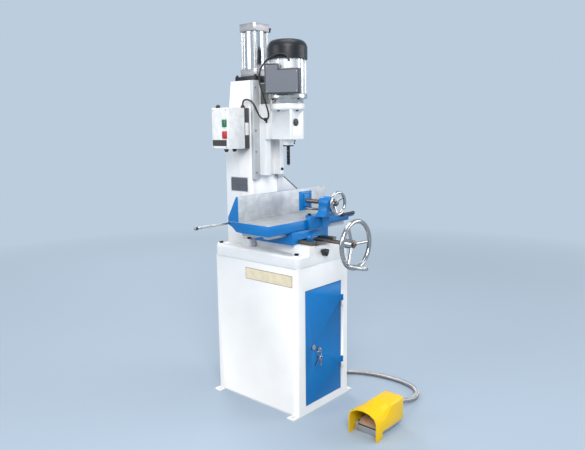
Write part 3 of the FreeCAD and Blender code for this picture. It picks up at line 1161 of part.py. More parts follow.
def make_foot_switch():
    half, wall = "foot_width_half", "guard_wall"
    left, y = "foot_left", "foot_y"
    mouth = arch(half, "guard_arch", "72")
    mouth_void = arch(f"({half} - {wall})", f"(guard_arch - {wall})", "70")
    back = [(f"-{half}", "0"), (f"{half} - 6", "0"), (f"{half} - 6", "70"), (f"{half} - 26", "93.5"),
            (f"{half} - 46", "guard_rear"), ("-4", "guard_rear"), (f"-{half} + 26", "guard_rear"),
            (f"-{half} + 6", "guard_rear - 1"), (f"-{half}", "guard_rear - 8")]
    back_void = [(f"-{half} + {wall}", "0"), (f"{half} - 6 - {wall}", "0"),
                 (f"{half} - 6 - {wall}", "68.5"), (f"{half} - 30", "91.5"),
                 (f"{half} - 48", f"guard_rear - {wall}"), ("-4", f"guard_rear - {wall}"),
                 (f"-{half} + 28", f"guard_rear - {wall}"),
                 (f"-{half} + 10", f"guard_rear - {wall} - 1"),
                 (f"-{half} + {wall}", f"guard_rear - {wall} - 8")]
    blend_x = f"{left} + foot_length - guard_box - guard_blend"
    back_x = f"{left} + foot_length - guard_box"
    shell = [prism("YZ_Plane", mouth, "foot_length - guard_box - guard_blend", left, y),
             blended("YZ_Plane", mouth, back, "guard_blend", blend_x, y),
             prism("YZ_Plane", back, "guard_box", back_x, y)]
    voids = [prism("YZ_Plane", mouth_void, "foot_length - guard_box - guard_blend + 1",
                   f"{left} - 1", y),
             blended("YZ_Plane", mouth_void, back_void, "guard_blend", blend_x, y),
             prism("YZ_Plane", back_void, f"guard_box - {wall}", back_x, y)]
    under = box(f"{left} + guard_leg", f"{y} - 100", "-1", "foot_length", "200",
                "guard_under + 1")
    gland = rod("X", f"{left} + foot_length - 10", f"{y} + foot_gland_shift", "foot_gland_z",
                "6", "20")
    keep(cut(fuse(*shell), *voids, under, gland), "foot_guard")

    base_length = f"(foot_left + foot_length - guard_wall - foot_base_from - 0.3)"
    block = box("foot_base_from", f"{y} - foot_base_half", "0", base_length,
                "2 * foot_base_half", "foot_base_height")
    inner, far = f"({y} - {half} + {wall} + 0.2)", f"({y} + {half} - {wall} - 6.2)"
    flange = box("foot_base_from + 40", inner, "guard_under - 10", f"{base_length} - 40",
                 f"{far} - {inner}", "8")
    cheeks = [box("foot_base_from + 40", at, "guard_under - 10", f"{base_length} - 40", "4",
                  "24") for at in (inner, f"{far} - 4")]
    ears = [box("foot_base_from", f"{y} + {s} * (foot_base_half - 2.5) - 2.5",
                "foot_base_height - 1", "16", "5", "14") for s in (-1, 1)]
    recess = box("foot_base_from + 4", f"{y} - foot_base_half + 5", "6", f"{base_length} - 40",
                 "2 * foot_base_half - 10", "60")
    pivot_x = "(foot_base_from + 8)"
    pin_hole = rod("Y", pivot_x, f"{y} - foot_base_half - 1", "pedal_pivot_z",
                   "pedal_pin_radius", "2 * foot_base_half + 2")
    pin = rod("Y", pivot_x, f"{y} - foot_base_half", "pedal_pivot_z", "pedal_pin_radius",
              "2 * foot_base_half")
    body = cut(fuse(cut(fuse(block, flange), recess), *cheeks, *ears), pin_hole)
    keep(group(body, pin), "foot_base")

    rise = "treadle_rise"
    span = "treadle_length"
    pedal = prism("XZ_Plane", [("-5", "4"), (span, f"4 + {rise}"),
                               (f"{span} + 6", f"8 + {rise}"), (f"{span} + 6", f"13 + {rise}"),
                               (span, f"4 + treadle_thick + {rise}"),
                               ("-5", "4 + treadle_thick"), ("-8", "6")],
                  "2 * treadle_half", pivot_x, f"{y} - treadle_half", "pedal_pivot_z")
    tube = rod("Y", pivot_x, f"{y} - treadle_half", "pedal_pivot_z", "pedal_pin_radius + 3",
               "2 * treadle_half")
    hole = rod("Y", pivot_x, f"{y} - treadle_half - 1", "pedal_pivot_z",
               "pedal_pin_radius + 0.05", "2 * treadle_half + 2")
    keep(cut(fuse(pedal, tube), hole), "foot_treadle")

    coil = doc.addObject("Part::Feature", "coil")
    coil.Shape = coil_spring(size("foot_spring_radius"), size("foot_spring_wire"),
                             size("foot_spring_length"), int(size("foot_spring_turns")))
    keep(place(coil, f"{pivot_x} + 72", y, "6 + foot_spring_wire"), "treadle_spring")


def coil_spring(radius, wire, length, turns):
    """A compression spring of round wire whose first turn is centred on z = 0."""
    pitch = (length - 2 * wire) / turns
    helix = Part.makeHelix(pitch, length - 2 * wire, radius - wire)
    section = Part.Wire(Part.makeCircle(wire, V(radius - wire, 0, 0), V(0, 1, 0)))
    return Part.Wire(helix).makePipeShell([section], True, True)


# ---------------------------------------------------------------- leads and conduit
def lead(name, points, diameter):
    """A round lead of straight runs joined by tangent arcs."""
    knots = [V(*p) for p in points]
    edges, start, radii = [], knots[0], []
    for before, knot, after in zip(knots, knots[1:], knots[2:]):
        come, go = (knot - before), (after - knot)
        turn = come.getAngle(go)
        radius = 0.45 * min(come.Length, go.Length) / math.tan(turn / 2)
        radii.append(round(radius, 1))
        back = 0.45 * min(come.Length, go.Length)
        a = knot - come.normalize() * back
        b = knot + go.normalize() * back
        way = ((a - knot) + (b - knot)).normalize()
        middle = knot + way * (radius / math.cos(turn / 2) - radius)
        edges.append(Part.LineSegment(start, a).toShape())
        edges.append(Part.Arc(a, middle, b).toShape())
        start = b
    edges.append(Part.LineSegment(start, knots[-1]).toShape())
    path = Part.Wire(edges)
    ring_wire = Part.Wire(Part.makeCircle(diameter / 2, knots[0], knots[1] - knots[0]))
    solid = path.makePipeShell([ring_wire], True, False)
    item = doc.addObject("Part::Feature", "lead")
    item.Shape = solid
    full = math.pi * diameter ** 2 / 4 * path.Length
    print(f"{name}: length {path.Length:.0f}, radii {radii}, volume {solid.Volume / full:.4f}")
    keep(item, name)


# Heights in CONDUIT are above the floor, and in the two leads above the bed's top.
CONDUIT = [(184.3, -75, 32), (218, -75, 32), (256, -80, 25), (294, -98, 14), (330, -131, 10.4),
           (360, -182, 10.4), (380, -242, 10.4), (389, -306, 10.4), (388, -372, 10.4),
           (373, -434, 10.4), (338, -478, 10.4), (289, -500, 10.4), (236, -501, 17),
           (184, -496, 32), (134, -495, 40), (86.3, -495, 40)]
HEAD_LEAD = [(-104, 106, 582.3), (-104, 106, 591), (-104, 101.6, 598.6), (-104, 94, 603),
             (-104, 82, 603.5), (-103, 67, 600.5), (-100.5, 55, 592), (-96, 47, 580),
             (-91, 43, 566), (-84, 41, 551), (-77, 40, 540), (-70.5, 35, 528),
             (-67, 18.2, 523)]
MOTOR_LEAD = [(-67, 16.6, 523), (-67, 7.6, 523), (-67.3, -0.6, 527.8), (-68.3, -5.4, 536.5),
              (-71, -6, 551), (-77, -4, 572), (-86, -1, 600), (-95, 4, 632), (-102, 11, 667), (-105, 9, 703),
              (-103, -10, 735), (-97, -38, 757), (-87, -66, 770), (-77, -92, 772),
              (-69, -113, 762), (-67.1, -117.3, 741.3)]


def make_leads():
    bed_top = size("cabinet_height") + size("bed_height")
    lead("foot_conduit", CONDUIT, size("conduit_diameter"))
    for name, points in (("head_lead", HEAD_LEAD), ("motor_lead", MOTOR_LEAD)):
        lead(name, [(x, y, z + bed_top) for x, y, z in points], size("lead_diameter"))


# ---------------------------------------------------------------- build and write
def main():
    for make in (make_cabinet_shell, make_door, make_hinge_pins, make_lock, make_bed,
                 make_machine_bolts, make_column, make_guide_plates, make_chip_guard,
                 make_cylinder, make_switch_box, make_head_slide, make_head_casting,
                 make_chisel_set, make_motor, make_saddle, make_cross_feed, make_table,
                 make_gears, make_handwheel, make_vise, make_stop_rod, make_lock_lever,
                 make_foot_switch, make_leads):
        make()
    doc.recompute()
    for item in doc.Objects:
        if {"Invalid", "Error"} & set(item.State):
            raise RuntimeError(f"{item.Label} failed: {item.State}")
    os.makedirs("parts", exist_ok=True)
    for item in SUBPARTS:
        if item.Shape.isNull() or not item.Shape.isValid():
            raise RuntimeError(f"{item.Label} has no valid shape")
    for item in SUBPARTS:
        item.Shape.exportStep(os.path.join("parts", f"{item.Label}.step"))
        print(item.Label, len(item.Shape.Solids), round(item.Shape.Volume))
    print(len(SUBPARTS), "sub-parts")


main()
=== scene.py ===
"""Looks of a floor-standing pneumatic hollow-chisel mortiser on a cabinet stand."""

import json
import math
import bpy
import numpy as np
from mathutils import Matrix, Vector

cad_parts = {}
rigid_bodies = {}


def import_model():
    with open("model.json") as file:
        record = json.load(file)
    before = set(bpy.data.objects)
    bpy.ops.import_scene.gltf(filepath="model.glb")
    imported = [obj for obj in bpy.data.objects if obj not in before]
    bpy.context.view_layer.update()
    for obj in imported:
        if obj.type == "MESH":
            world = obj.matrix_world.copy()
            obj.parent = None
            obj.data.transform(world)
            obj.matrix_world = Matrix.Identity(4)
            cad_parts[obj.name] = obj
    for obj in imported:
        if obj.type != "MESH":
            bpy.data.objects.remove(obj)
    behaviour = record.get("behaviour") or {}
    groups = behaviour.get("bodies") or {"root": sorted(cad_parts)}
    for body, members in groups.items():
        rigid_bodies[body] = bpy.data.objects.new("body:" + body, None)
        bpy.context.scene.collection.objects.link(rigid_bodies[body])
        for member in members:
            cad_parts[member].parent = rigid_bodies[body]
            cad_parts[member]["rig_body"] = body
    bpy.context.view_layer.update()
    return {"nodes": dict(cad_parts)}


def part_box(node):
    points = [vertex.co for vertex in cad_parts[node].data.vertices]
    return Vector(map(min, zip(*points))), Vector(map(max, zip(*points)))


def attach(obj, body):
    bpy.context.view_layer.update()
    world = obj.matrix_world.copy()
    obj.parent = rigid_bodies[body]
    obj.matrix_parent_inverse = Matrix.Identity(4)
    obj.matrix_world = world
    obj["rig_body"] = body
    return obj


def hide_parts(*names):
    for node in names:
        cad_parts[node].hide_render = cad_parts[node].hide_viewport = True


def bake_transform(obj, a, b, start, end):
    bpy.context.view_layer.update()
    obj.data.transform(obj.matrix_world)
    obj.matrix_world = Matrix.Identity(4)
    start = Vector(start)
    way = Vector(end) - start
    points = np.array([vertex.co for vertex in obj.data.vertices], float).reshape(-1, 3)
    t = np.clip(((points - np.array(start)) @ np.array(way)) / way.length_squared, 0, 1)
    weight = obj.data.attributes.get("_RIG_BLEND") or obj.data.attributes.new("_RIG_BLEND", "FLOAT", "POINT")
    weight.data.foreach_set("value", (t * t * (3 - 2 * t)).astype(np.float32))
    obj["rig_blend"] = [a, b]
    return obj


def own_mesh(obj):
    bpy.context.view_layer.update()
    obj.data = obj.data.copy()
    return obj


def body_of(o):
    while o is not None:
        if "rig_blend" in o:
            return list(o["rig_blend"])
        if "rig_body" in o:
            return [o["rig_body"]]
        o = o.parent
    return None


bl_info = {
    "name": "Pneumatic Mortiser",
    "version": (1, 0, 0),
    "blender": (4, 5, 0),
    "location": "3D View > Sidebar > Mortiser",
    "description": "Dresses the packed mortiser with its paints, bare metals and small fittings",
    "category": "Object",
}

import bmesh
import bpy
from bpy.props import FloatProperty, FloatVectorProperty, IntProperty, PointerProperty
from mathutils import Matrix, Vector
from mathutils.kdtree import KDTree

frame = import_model()
NODES = frame["nodes"]

# Axes and faces in metres, X to the right, Y to the back and Z up; the turn in degrees.
SPINDLE = (0.0, -0.048)
CYLINDER_Y = 0.1335
HEAD_TOP = 1.239
TERMINAL_BASE = 1.274
TERMINAL_TURN = 25.3
SHAFT_Z = 0.699
VISE_X, VISE_Z = 0.058, 0.843
JAW_FRONT = -0.093
FOOT_Y = -0.508

# Route points in metres: the conduit's heights are above the floor, the leads' above the bed.
CONDUIT_ROUTE = [
    (0.1843, -0.075, 0.032), (0.218, -0.075, 0.032), (0.256, -0.080, 0.025),
    (0.294, -0.098, 0.014), (0.330, -0.131, 0.0104), (0.360, -0.182, 0.0104),
    (0.380, -0.242, 0.0104), (0.389, -0.306, 0.0104), (0.388, -0.372, 0.0104),
    (0.373, -0.434, 0.0104), (0.338, -0.478, 0.0104), (0.289, -0.500, 0.0104),
    (0.236, -0.501, 0.017), (0.184, -0.496, 0.032), (0.134, -0.495, 0.040),
    (0.0863, -0.495, 0.040)]
HEAD_LEAD_ROUTE = [
    (-0.104, 0.106, 0.5823), (-0.104, 0.106, 0.591), (-0.104, 0.1016, 0.5986),
    (-0.104, 0.094, 0.603), (-0.104, 0.082, 0.6035), (-0.103, 0.067, 0.6005),
    (-0.1005, 0.055, 0.592), (-0.096, 0.047, 0.580), (-0.091, 0.043, 0.566),
    (-0.084, 0.041, 0.551), (-0.077, 0.040, 0.540), (-0.0705, 0.035, 0.528),
    (-0.067, 0.0182, 0.523)]
MOTOR_LEAD_ROUTE = [
    (-0.067, 0.0166, 0.523), (-0.067, 0.0076, 0.523), (-0.0673, -0.0006, 0.5278),
    (-0.0683, -0.0054, 0.5365), (-0.071, -0.006, 0.551), (-0.077, -0.004, 0.572),
    (-0.086, -0.001, 0.600), (-0.095, 0.004, 0.632), (-0.102, 0.011, 0.667),
    (-0.105, 0.009, 0.703), (-0.103, -0.010, 0.735), (-0.097, -0.038, 0.757),
    (-0.087, -0.066, 0.770), (-0.077, -0.092, 0.772), (-0.069, -0.113, 0.762),
    (-0.0671, -0.1173, 0.7413)]

# Studio camera: place in metres, turns in radians, lens and sensor in millimetres.
CAMERA_PLACE = (-1.8364, -1.6786, 1.1397)
CAMERA_YAW, CAMERA_PITCH, CAMERA_ROLL = 0.8503629951, 0.1604699407, -0.0105346092
CAMERA_LENS, CAMERA_SENSOR = 36.59, 36.0
# Studio lamps: name, place, height aimed at, width of the disc and watts.
LAMPS = (
    ("key", (-2.6, -2.6, 3.1), 0.8, 2.4, 148.0),
    ("fill", (2.8, -3.0, 1.9), 0.8, 2.6, 64.0),
    ("rim", (1.6, 3.2, 2.6), 0.9, 2.0, 66.0),
    ("left", (-3.4, 1.6, 1.9), 0.8, 2.2, 44.0),
    ("top", (0.0, -0.3, 4.2), 0.8, 2.6, 58.0))
SKY_TINT, SKY_STRENGTH = (0.86, 0.90, 0.95), 0.42
FLOOR_RADIUS, FLOOR_SHADE = 40.0, 0.70
GLOW_FROM, GLOW_FULL = 1.2, 4.5


# ------------------------------------------------------------------ settings
def colour(name, description, value):
    return FloatVectorProperty(name=name, description=description, subtype="COLOR", size=3,
                               min=0.0, max=1.0, default=value)


def length(name, description, value):
    return FloatProperty(name=name, description=description, default=value, min=0.0,
                         unit="LENGTH", subtype="DISTANCE", precision=4)


class MortiserPaint(bpy.types.PropertyGroup):
    white: colour("White enamel", "Cabinet, bed, column and head", (0.80, 0.80, 0.795))
    blue: colour("Blue enamel", "Door, saddle, table sides and vise", (0.003, 0.158, 0.45))
    yellow: colour("Yellow enamel", "Hood of the foot switch", (0.86, 0.53, 0.004))
    black: colour("Black enamel", "Fan cowl and cylinder plate", (0.012, 0.013, 0.016))
    slate: colour("Slate grey", "Terminal box and the back of the switch box",
                  (0.042, 0.044, 0.050))
    floor: colour("Floor", "Studio floor and backdrop", (0.50, 0.61, 0.73))


class MortiserMetal(bpy.types.PropertyGroup):
    steel: colour("Ground steel", "Shafts, screws and pins", (0.52, 0.51, 0.49))
    iron: colour("Planed iron", "Table top, its guide and the fence's face", (0.54, 0.56, 0.58))
    ways: colour("Oiled ways", "Bare dovetails and their flat tops", (0.20, 0.18, 0.13))
    dark: colour("Blacked steel", "Screws, chisel and chuck", (0.035, 0.035, 0.037))
    brown: colour("Oiled brown steel", "Vise screw, feed shaft and hub nuts",
                  (0.20, 0.16, 0.13))
    chrome: colour("Chrome", "Handwheels, lock and keys", (0.47, 0.46, 0.45))
    aluminium: colour("Aluminium", "Foot plate and the rim of the column plate", (0.62, 0.62, 0.63))
    bronze: colour("Bronze", "Bushes, nut and gibs", (0.52, 0.34, 0.15))


class MortiserSizes(bpy.types.PropertyGroup):
    rib_pitch: length("Conduit rib pitch", "Spacing of the conduit's ribs", 0.0048)
    rib_depth: length("Conduit rib depth", "Depth of the grooves between the ribs", 0.0011)
    lead: length("Lead thickness", "Diameter of the two rubber leads", 0.007)
    conduit: length("Conduit thickness", "Diameter over the conduit's ribs", 0.020)
    cap_screw: length("Cap screw head", "Radius of a guide plate's screw head", 0.0055)
    plate_gauge: length("Plate gauge", "Thickness of the small bare plates", 0.001)
    thread_pitch: length("Thread pitch", "Pitch of the vise screw's thread", 0.004)
    cowl_rings: IntProperty(name="Cowl grille rings", min=1, max=8, default=5,
                            description="Rings of the grille on top of the fan cowl")


# ------------------------------------------------------------------ finishes
# Tool marks: fine across two axes, and drawn out along the third or along none.
ALONG_X, ALONG_Y = (6.0, 700.0, 700.0), (700.0, 8.0, 700.0)
WAYS_MARKS, NO_WAY = (700.0, 5.0, 700.0), (300.0, 300.0, 300.0)
FINISHES = {}


def feed(node, inputs):
    """Give a node's inputs numbers, colours or the outputs of other nodes."""
    for name, value in inputs.items():
        socket = node.inputs[name]
        if isinstance(value, bpy.types.NodeSocket):
            node.id_data.links.new(value, socket)
        else:
            socket.default_value = (*value, 1.0) if socket.type == "RGBA" else value


def add(tree, kind, inputs, **settings):
    """A new shader node with its settings and what its inputs are fed."""
    node = tree.nodes.new(f"ShaderNode{kind}")
    for name, value in settings.items():
        setattr(node, name, value)
    feed(node, inputs)
    return node


def fresh(name):
    """A new finish, kept by its name: its shader and its object coordinates."""
    finish = FINISHES[name] = bpy.data.materials.new(name)
    finish.use_nodes = True
    place = add(finish.node_tree, "TexCoord", {})
    return finish.node_tree.nodes["Principled BSDF"], place.outputs["Object"]


def grain(where, scale, detail=3.0, stretch=None, roughness=0.5):
    """Noise from 0 to 1, drawn out along an axis if stretch is given."""
    tree = where.id_data
    if stretch:
        where = add(tree, "Mapping", {"Vector": where, "Scale": stretch}).outputs["Vector"]
    return add(tree, "TexNoise", {"Vector": where, "Scale": scale, "Detail": detail,
                                  "Roughness": roughness}).outputs["Fac"]


def span(value, start, end, low, high):
    """Map a value from start..end to low..high."""
    return add(value.id_data, "MapRange", {
        "Value": value, "From Min": start, "From Max": end, "To Min": low,
        "To Max": high}).outputs["Result"]


def blend_colours(factor, first, second):
    """Mix two colours, each a constant or a socket."""
    return add(factor.id_data, "Mix", {0: factor, 6: first, 7: second},
               data_type="RGBA").outputs[2]


def blend_values(factor, first, second):
    """Mix two sockets that carry numbers."""
    return add(factor.id_data, "Mix", {0: factor, 2: first, 3: second}).outputs[0]


def arithmetic(operation, first, *others):
    """One sum of a socket with other sockets and numbers."""
    return add(first.id_data, "Math", dict(enumerate((first, *others))),
               operation=operation).outputs[0]


def relief(height, strength, distance):
    """The normal of a surface with small heights on it."""
    return add(height.id_data, "Bump", {"Height": height, "Strength": strength,
                                        "Distance": distance}).outputs["Normal"]


def shaded(tint, factor):
    return tuple(min(1.0, channel * factor) for channel in tint)


def paint_coat(where, tint):
    """Colour of sprayed paint with soft clouds and faint dust, and the dust by itself."""
    cloud, dust = grain(where, 7.0, 2.0), grain(where, 60.0, 6.0, roughness=0.65)
    coat = blend_colours(span(cloud, 0.35, 0.65, 0.0, 1.0), shaded(tint, 0.955), tint)
    return blend_colours(span(dust, 0.56, 0.80, 0.0, 0.35), coat, shaded(tint, 0.84)), dust


def orange_peel(where, cast):
    """Height of the paint's fine waves; cast adds the relief of a sand casting below it."""
    peel = grain(where, 420.0, 2.0)
    return arithmetic("MULTIPLY_ADD", grain(where, 95.0), cast, peel) if cast else peel


def tooled_metal(where, tint, lines, mottle):
    """Colour of bare metal with stains and tool marks along one axis, and the marks."""
    marks, stain = grain(where, 1.0, stretch=lines), grain(where, 26.0, 5.0, roughness=0.6)
    metal = blend_colours(span(stain, 0.36, 0.66, 0.0, 1.0), shaded(tint, 1.0 - mottle),
                          shaded(tint, 1.0 + mottle * 0.5))
    return blend_colours(span(marks, 0.40, 0.62, 0.0, 0.35), metal, shaded(tint, 0.72)), marks


def bare_mask(where, regions):
    """1 inside any of the regions, each a list of (axis, low, high) limits in metres."""
    split = add(where.id_data, "SeparateXYZ", {0: where})
    soft, mask = 0.0002, None
    for region in regions:
        inside = None
        for axis, low, high in region:
            value = split.outputs[axis]
            for edge in (span(value, low - soft, low + soft, 0.0, 1.0),
                         span(value, high - soft, high + soft, 1.0, 0.0)):
                inside = arithmetic("MULTIPLY", inside, edge) if inside else edge
        mask = arithmetic("MAXIMUM", mask, inside) if mask else inside
    return mask


def enamel(name, tint, gloss, cast=0.0, coat=0.25, sheen=0.5):
    """Sprayed paint on sheet, or on a casting if cast is given."""
    shader, where = fresh(name)
    paint, dust = paint_coat(where, tint)
    feed(shader, {"Base Color": paint, "Specular IOR Level": sheen, "Coat Weight": coat,
                  "Coat Roughness": 0.12,
                  "Roughness": span(dust, 0.3, 0.7, gloss - 0.05, gloss + 0.10),
                  "Normal": relief(orange_peel(where, cast), 0.12, 0.0006)})


def machined(name, tint, rough, lines, mottle=0.10, bump=0.10, metallic=1.0):
    """Bare worked metal whose tool marks run along one axis."""
    shader, where = fresh(name)
    metal, marks = tooled_metal(where, tint, lines, mottle)
    feed(shader, {"Base Color": metal, "Metallic": metallic,
                  "Roughness": span(marks, 0.35, 0.65, rough, rough + 0.16),
                  "Normal": relief(marks, bump, 0.0003)})


def two_tone(name, painted, bare, rough, lines, regions, cast=1.8, mottle=0.12, metallic=1.0,
             sheen=0.36):
    """A painted casting with bare metal in the regions that bare_mask takes."""
    shader, where = fresh(name)
    mask = bare_mask(where, regions)
    paint, dust = paint_coat(where, painted)
    metal, marks = tooled_metal(where, bare, lines, mottle)
    feed(shader, {
        "Base Color": blend_colours(mask, paint, metal), "Specular IOR Level": sheen,
        "Metallic": span(mask, 0.0, 1.0, 0.0, metallic),
        "Roughness": blend_values(mask, span(dust, 0.3, 0.7, 0.25, 0.40),
                                  span(marks, 0.35, 0.65, rough, rough + 0.16)),
        "Normal": relief(blend_values(mask, orange_peel(where, cast), marks), 0.12, 0.0005)})


def plated(name, tint, rough=0.09):
    """Polished or plated metal with faint handling smears."""
    shader, where = fresh(name)
    smear = grain(where, 38.0, 4.0, roughness=0.6)
    feed(shader, {
        "Base Color": blend_colours(span(smear, 0.35, 0.7, 0.0, 1.0), tint, shaded(tint, 0.80)),
        "Metallic": 1.0, "Roughness": span(smear, 0.35, 0.75, rough, rough + 0.13),
        "Normal": relief(grain(where, 210.0, 2.0), 0.04, 0.0004)})


def moulded(name, tint, rough, texture=650.0, strength=0.12):
    """Moulded plastic or rubber with a fine sparked texture."""
    shader, where = fresh(name)
    wear = grain(where, 45.0, 4.0)
    worn = tuple(channel * 0.82 + 0.012 for channel in tint)
    feed(shader, {"Base Color": blend_colours(span(wear, 0.4, 0.75, 0.0, 1.0), tint, worn),
                  "Roughness": span(wear, 0.3, 0.7, rough, rough + 0.12),
                  "Normal": relief(grain(where, texture, 2.0), strength, 0.0004)})


def ribbed_metal(name, tint):
    """Galvanised strip of the conduit: bright ribs, and grooves darkened by their depth as painted shade."""
    shader, where = fresh(name)
    smear = grain(where, 90.0, 4.0)
    # painted shade: the groove depth darkens the strip, deepest grooves darkest
    depth = add(where.id_data, "Attribute", {}, attribute_name="groove").outputs["Fac"]
    base = blend_colours(span(smear, 0.35, 0.7, 0.0, 1.0), tint, shaded(tint, 0.78))
    feed(shader, {
        "Base Color": blend_colours(span(depth, 0.0, 1.0, 0.0, 0.75), base, shaded(tint, 0.30)),
        "Metallic": 1.0, "Roughness": span(smear, 0.3, 0.7, 0.24, 0.42),
        "Normal": relief(grain(where, 700.0, 2.0), 0.06, 0.0003)})


def mix_finishes():
    """Every finish of the machine."""
    paint = bpy.context.scene.mortiser_paint
    enamel("white sheet", paint.white, 0.32)
    enamel("white casting", paint.white, 0.34, cast=1.6)
    enamel("column enamel", paint.white, 0.34, cast=1.1)
    enamel("blue sheet", paint.blue, 0.38, coat=0.0, sheen=0.32)
    enamel("blue casting", paint.blue, 0.34, cast=1.8, coat=0.08, sheen=0.36)
    enamel("yellow enamel", paint.yellow, 0.34, cast=0.8, coat=0.10, sheen=0.22)
    enamel("black satin", paint.black, 0.36, coat=0.04, sheen=0.30)
    enamel("slate enamel", paint.slate, 0.36, cast=0.6)
    enamel("lid slate", shaded(paint.slate, 3.6), 0.40, cast=0.6, coat=0.1)

    metal = bpy.context.scene.mortiser_metal
    machined("steel", metal.steel, 0.22, ALONG_Y)
    machined("steel across", metal.steel, 0.22, (8.0, 700.0, 700.0))
    machined("brown steel", metal.brown, 0.26, ALONG_Y)
    machined("blacked steel", metal.dark, 0.34, NO_WAY, 0.2, 0.06)
    machined("screw grey", (0.50, 0.505, 0.51), 0.40, NO_WAY, 0.1, 0.06)
    machined("cap grey", (0.38, 0.365, 0.37), 0.42, (30.0, 30.0, 500.0))
    machined("guide grey", (0.62, 0.625, 0.63), 0.46, (700.0, 700.0, 5.0), 0.06, metallic=0.55)
    machined("label grey", (0.16, 0.165, 0.18), 0.42, (300.0, 10.0, 300.0), 0.12)
    machined("ribbed aluminium", (0.70, 0.70, 0.71), 0.36, (500.0, 500.0, 8.0), 0.06)
    machined("aluminium", metal.aluminium, 0.36, (9.0, 500.0, 500.0))
    machined("bronze", metal.bronze, 0.30, (600.0, 20.0, 600.0))
    plated("chrome", metal.chrome)
    plated("polished tube", (0.70, 0.70, 0.71), 0.13)
    plated("polished shield", (0.60, 0.59, 0.57), 0.17)
    ribbed_metal("galvanised strip", (0.60, 0.555, 0.535))

    moulded("black plastic", (0.008, 0.008, 0.009), 0.36)
    moulded("black rubber", (0.013, 0.013, 0.014), 0.42, 900.0, 0.10)
    moulded("white plastic", (0.78, 0.78, 0.77), 0.28, 800.0, 0.05)
    moulded("green plastic", (0.004, 0.16, 0.055), 0.26, 800.0, 0.05)
    moulded("red plastic", (0.46, 0.003, 0.010), 0.34, 800.0, 0.05)
    moulded("tan treadle", (0.43, 0.27, 0.18), 0.44, 500.0, 0.2)
    moulded("label black", (0.030, 0.024, 0.018), 0.40, 500.0, 0.10)
    moulded("label cream", (0.78, 0.68, 0.48), 0.50, 500.0, 0.03)
    moulded("label brown", (0.22, 0.10, 0.04), 0.44, 500.0, 0.06)

    two_tone("bed and ways", paint.white, metal.ways, 0.34, WAYS_MARKS, [
        [("Z", 0.6862, 0.704), ("X", -0.0802, 0.0802)]], cast=1.6, sheen=0.5)
    two_tone("saddle and ways", paint.blue, metal.ways, 0.30, WAYS_MARKS, [
        [("Z", 0.68, 0.7195), ("Y", -0.1632, 0.0392), ("X", -0.0905, 0.0905)]])
    two_tone("planed table", paint.blue, metal.iron, 0.40, ALONG_X, [
        [("Z", 0.7784, 0.7800)],
        [("Z", 0.7200, 0.7374), ("Y", -0.137, 0.0150)]], metallic=0.6)
    two_tone("planed fence", paint.blue, metal.iron, 0.44, ALONG_X, [
        [("Y", -0.001, 0.0014)],
        [("Y", -0.001, 0.0121), ("Z", 0.8788, 0.8810)]], mottle=0.18, metallic=0.5)
    two_tone("jaw and rod", paint.blue, metal.brown, 0.26, ALONG_Y, [
        [("X", 0.053, 0.063), ("Y", -0.30, -0.0934), ("Z", 0.806, 0.816)]])


# ------------------------------------------------------------------ shapes
def link_mesh(name, bm, finish, body, sharp=35.0):
    """Write a bmesh to a named piece that rides on a body."""
    mesh = bpy.data.meshes.new(name)
    bm.to_mesh(mesh)
    bm.free()
    mesh.materials.append(FINISHES[finish])
    mesh.shade_smooth()
    mesh.set_sharp_from_angle(angle=math.radians(sharp))
    piece = bpy.data.objects.new(name, mesh)
    bpy.context.scene.collection.objects.link(piece)
    if body:
        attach(piece, body)
    return piece


def round_edges(bm, edges, width, segments=2, **limits):
    """Round edges, and give the vertices of the faces that this makes."""
    new = bmesh.ops.bevel(bm, geom=list(edges), offset=width, offset_type="OFFSET",
                          affect="EDGES", segments=segments, profile=0.5, material=-1, **limits)
    return {vert for face in new["faces"] for vert in face.verts}


def eased_copy(node, finish, width, sharp=35.0, angle=28.0):
    """A copy of a node's shape with its edges rounded, that stands for the node."""
    bm = bmesh.new()
    bm.from_mesh(NODES[node].data)
    bmesh.ops.remove_doubles(bm, verts=bm.verts, dist=2e-6)
    bmesh.ops.dissolve_degenerate(bm, edges=bm.edges, dist=2e-6)
    bmesh.ops.dissolve_limit(bm, angle_limit=math.radians(1.0), verts=bm.verts, edges=bm.edges,
                             delimit={"NORMAL"})
    limit = math.radians(angle)
    edges = [edge for edge in bm.edges if len(edge.link_faces) == 2
             and edge.calc_face_angle(0.0) > limit and edge.is_convex]
    if edges and width:
        round_edges(bm, edges, width, clamp_overlap=True, loop_slide=False)
    bmesh.ops.triangulate(bm, faces=[face for face in bm.faces if len(face.verts) > 4])
    piece = link_mesh(f"{node}_finished", bm, finish, body_of(NODES[node])[0],
                      sharp)
    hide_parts(node)
    return piece


def repaint(node, finish):
    """Give a carried-over node its finish."""
    mesh = NODES[node].data
    if mesh.materials:
        mesh.materials[0] = FINISHES[finish]
    else:
        mesh.materials.append(FINISHES[finish])


def dress(*rows):
    """Repaint each (node, finish), and copy each (node, finish, width) with rounded edges."""
    for node, finish, *width in rows:
        if width:
            eased_copy(node, finish, *width)
        else:
            repaint(node, finish)


def facing(way):
    """Rotation that takes +Z to the named direction."""
    quarters, axis = {"Z": (0, "X"), "-Z": (2, "X"), "Y": (-1, "X"), "-Y": (1, "X"),
                      "X": (1, "Y"), "-X": (-1, "Y")}[way]
    return Matrix.Rotation(quarters * math.pi / 2, 3, axis)


def about_z(degrees):
    return Matrix.Rotation(math.radians(degrees), 3, "Z")


def corners(reach):
    """The four corners of a square about the origin."""
    return [(x, y) for x in (-reach, reach) for y in (-reach, reach)]


def shift(bm, verts, move=(0, 0, 0), turn=None):
    """Turn new vertices about the origin, then move them."""
    matrix = Matrix.Translation(Vector(move)) @ (turn.to_4x4() if turn else Matrix())
    bmesh.ops.transform(bm, matrix=matrix, verts=verts)


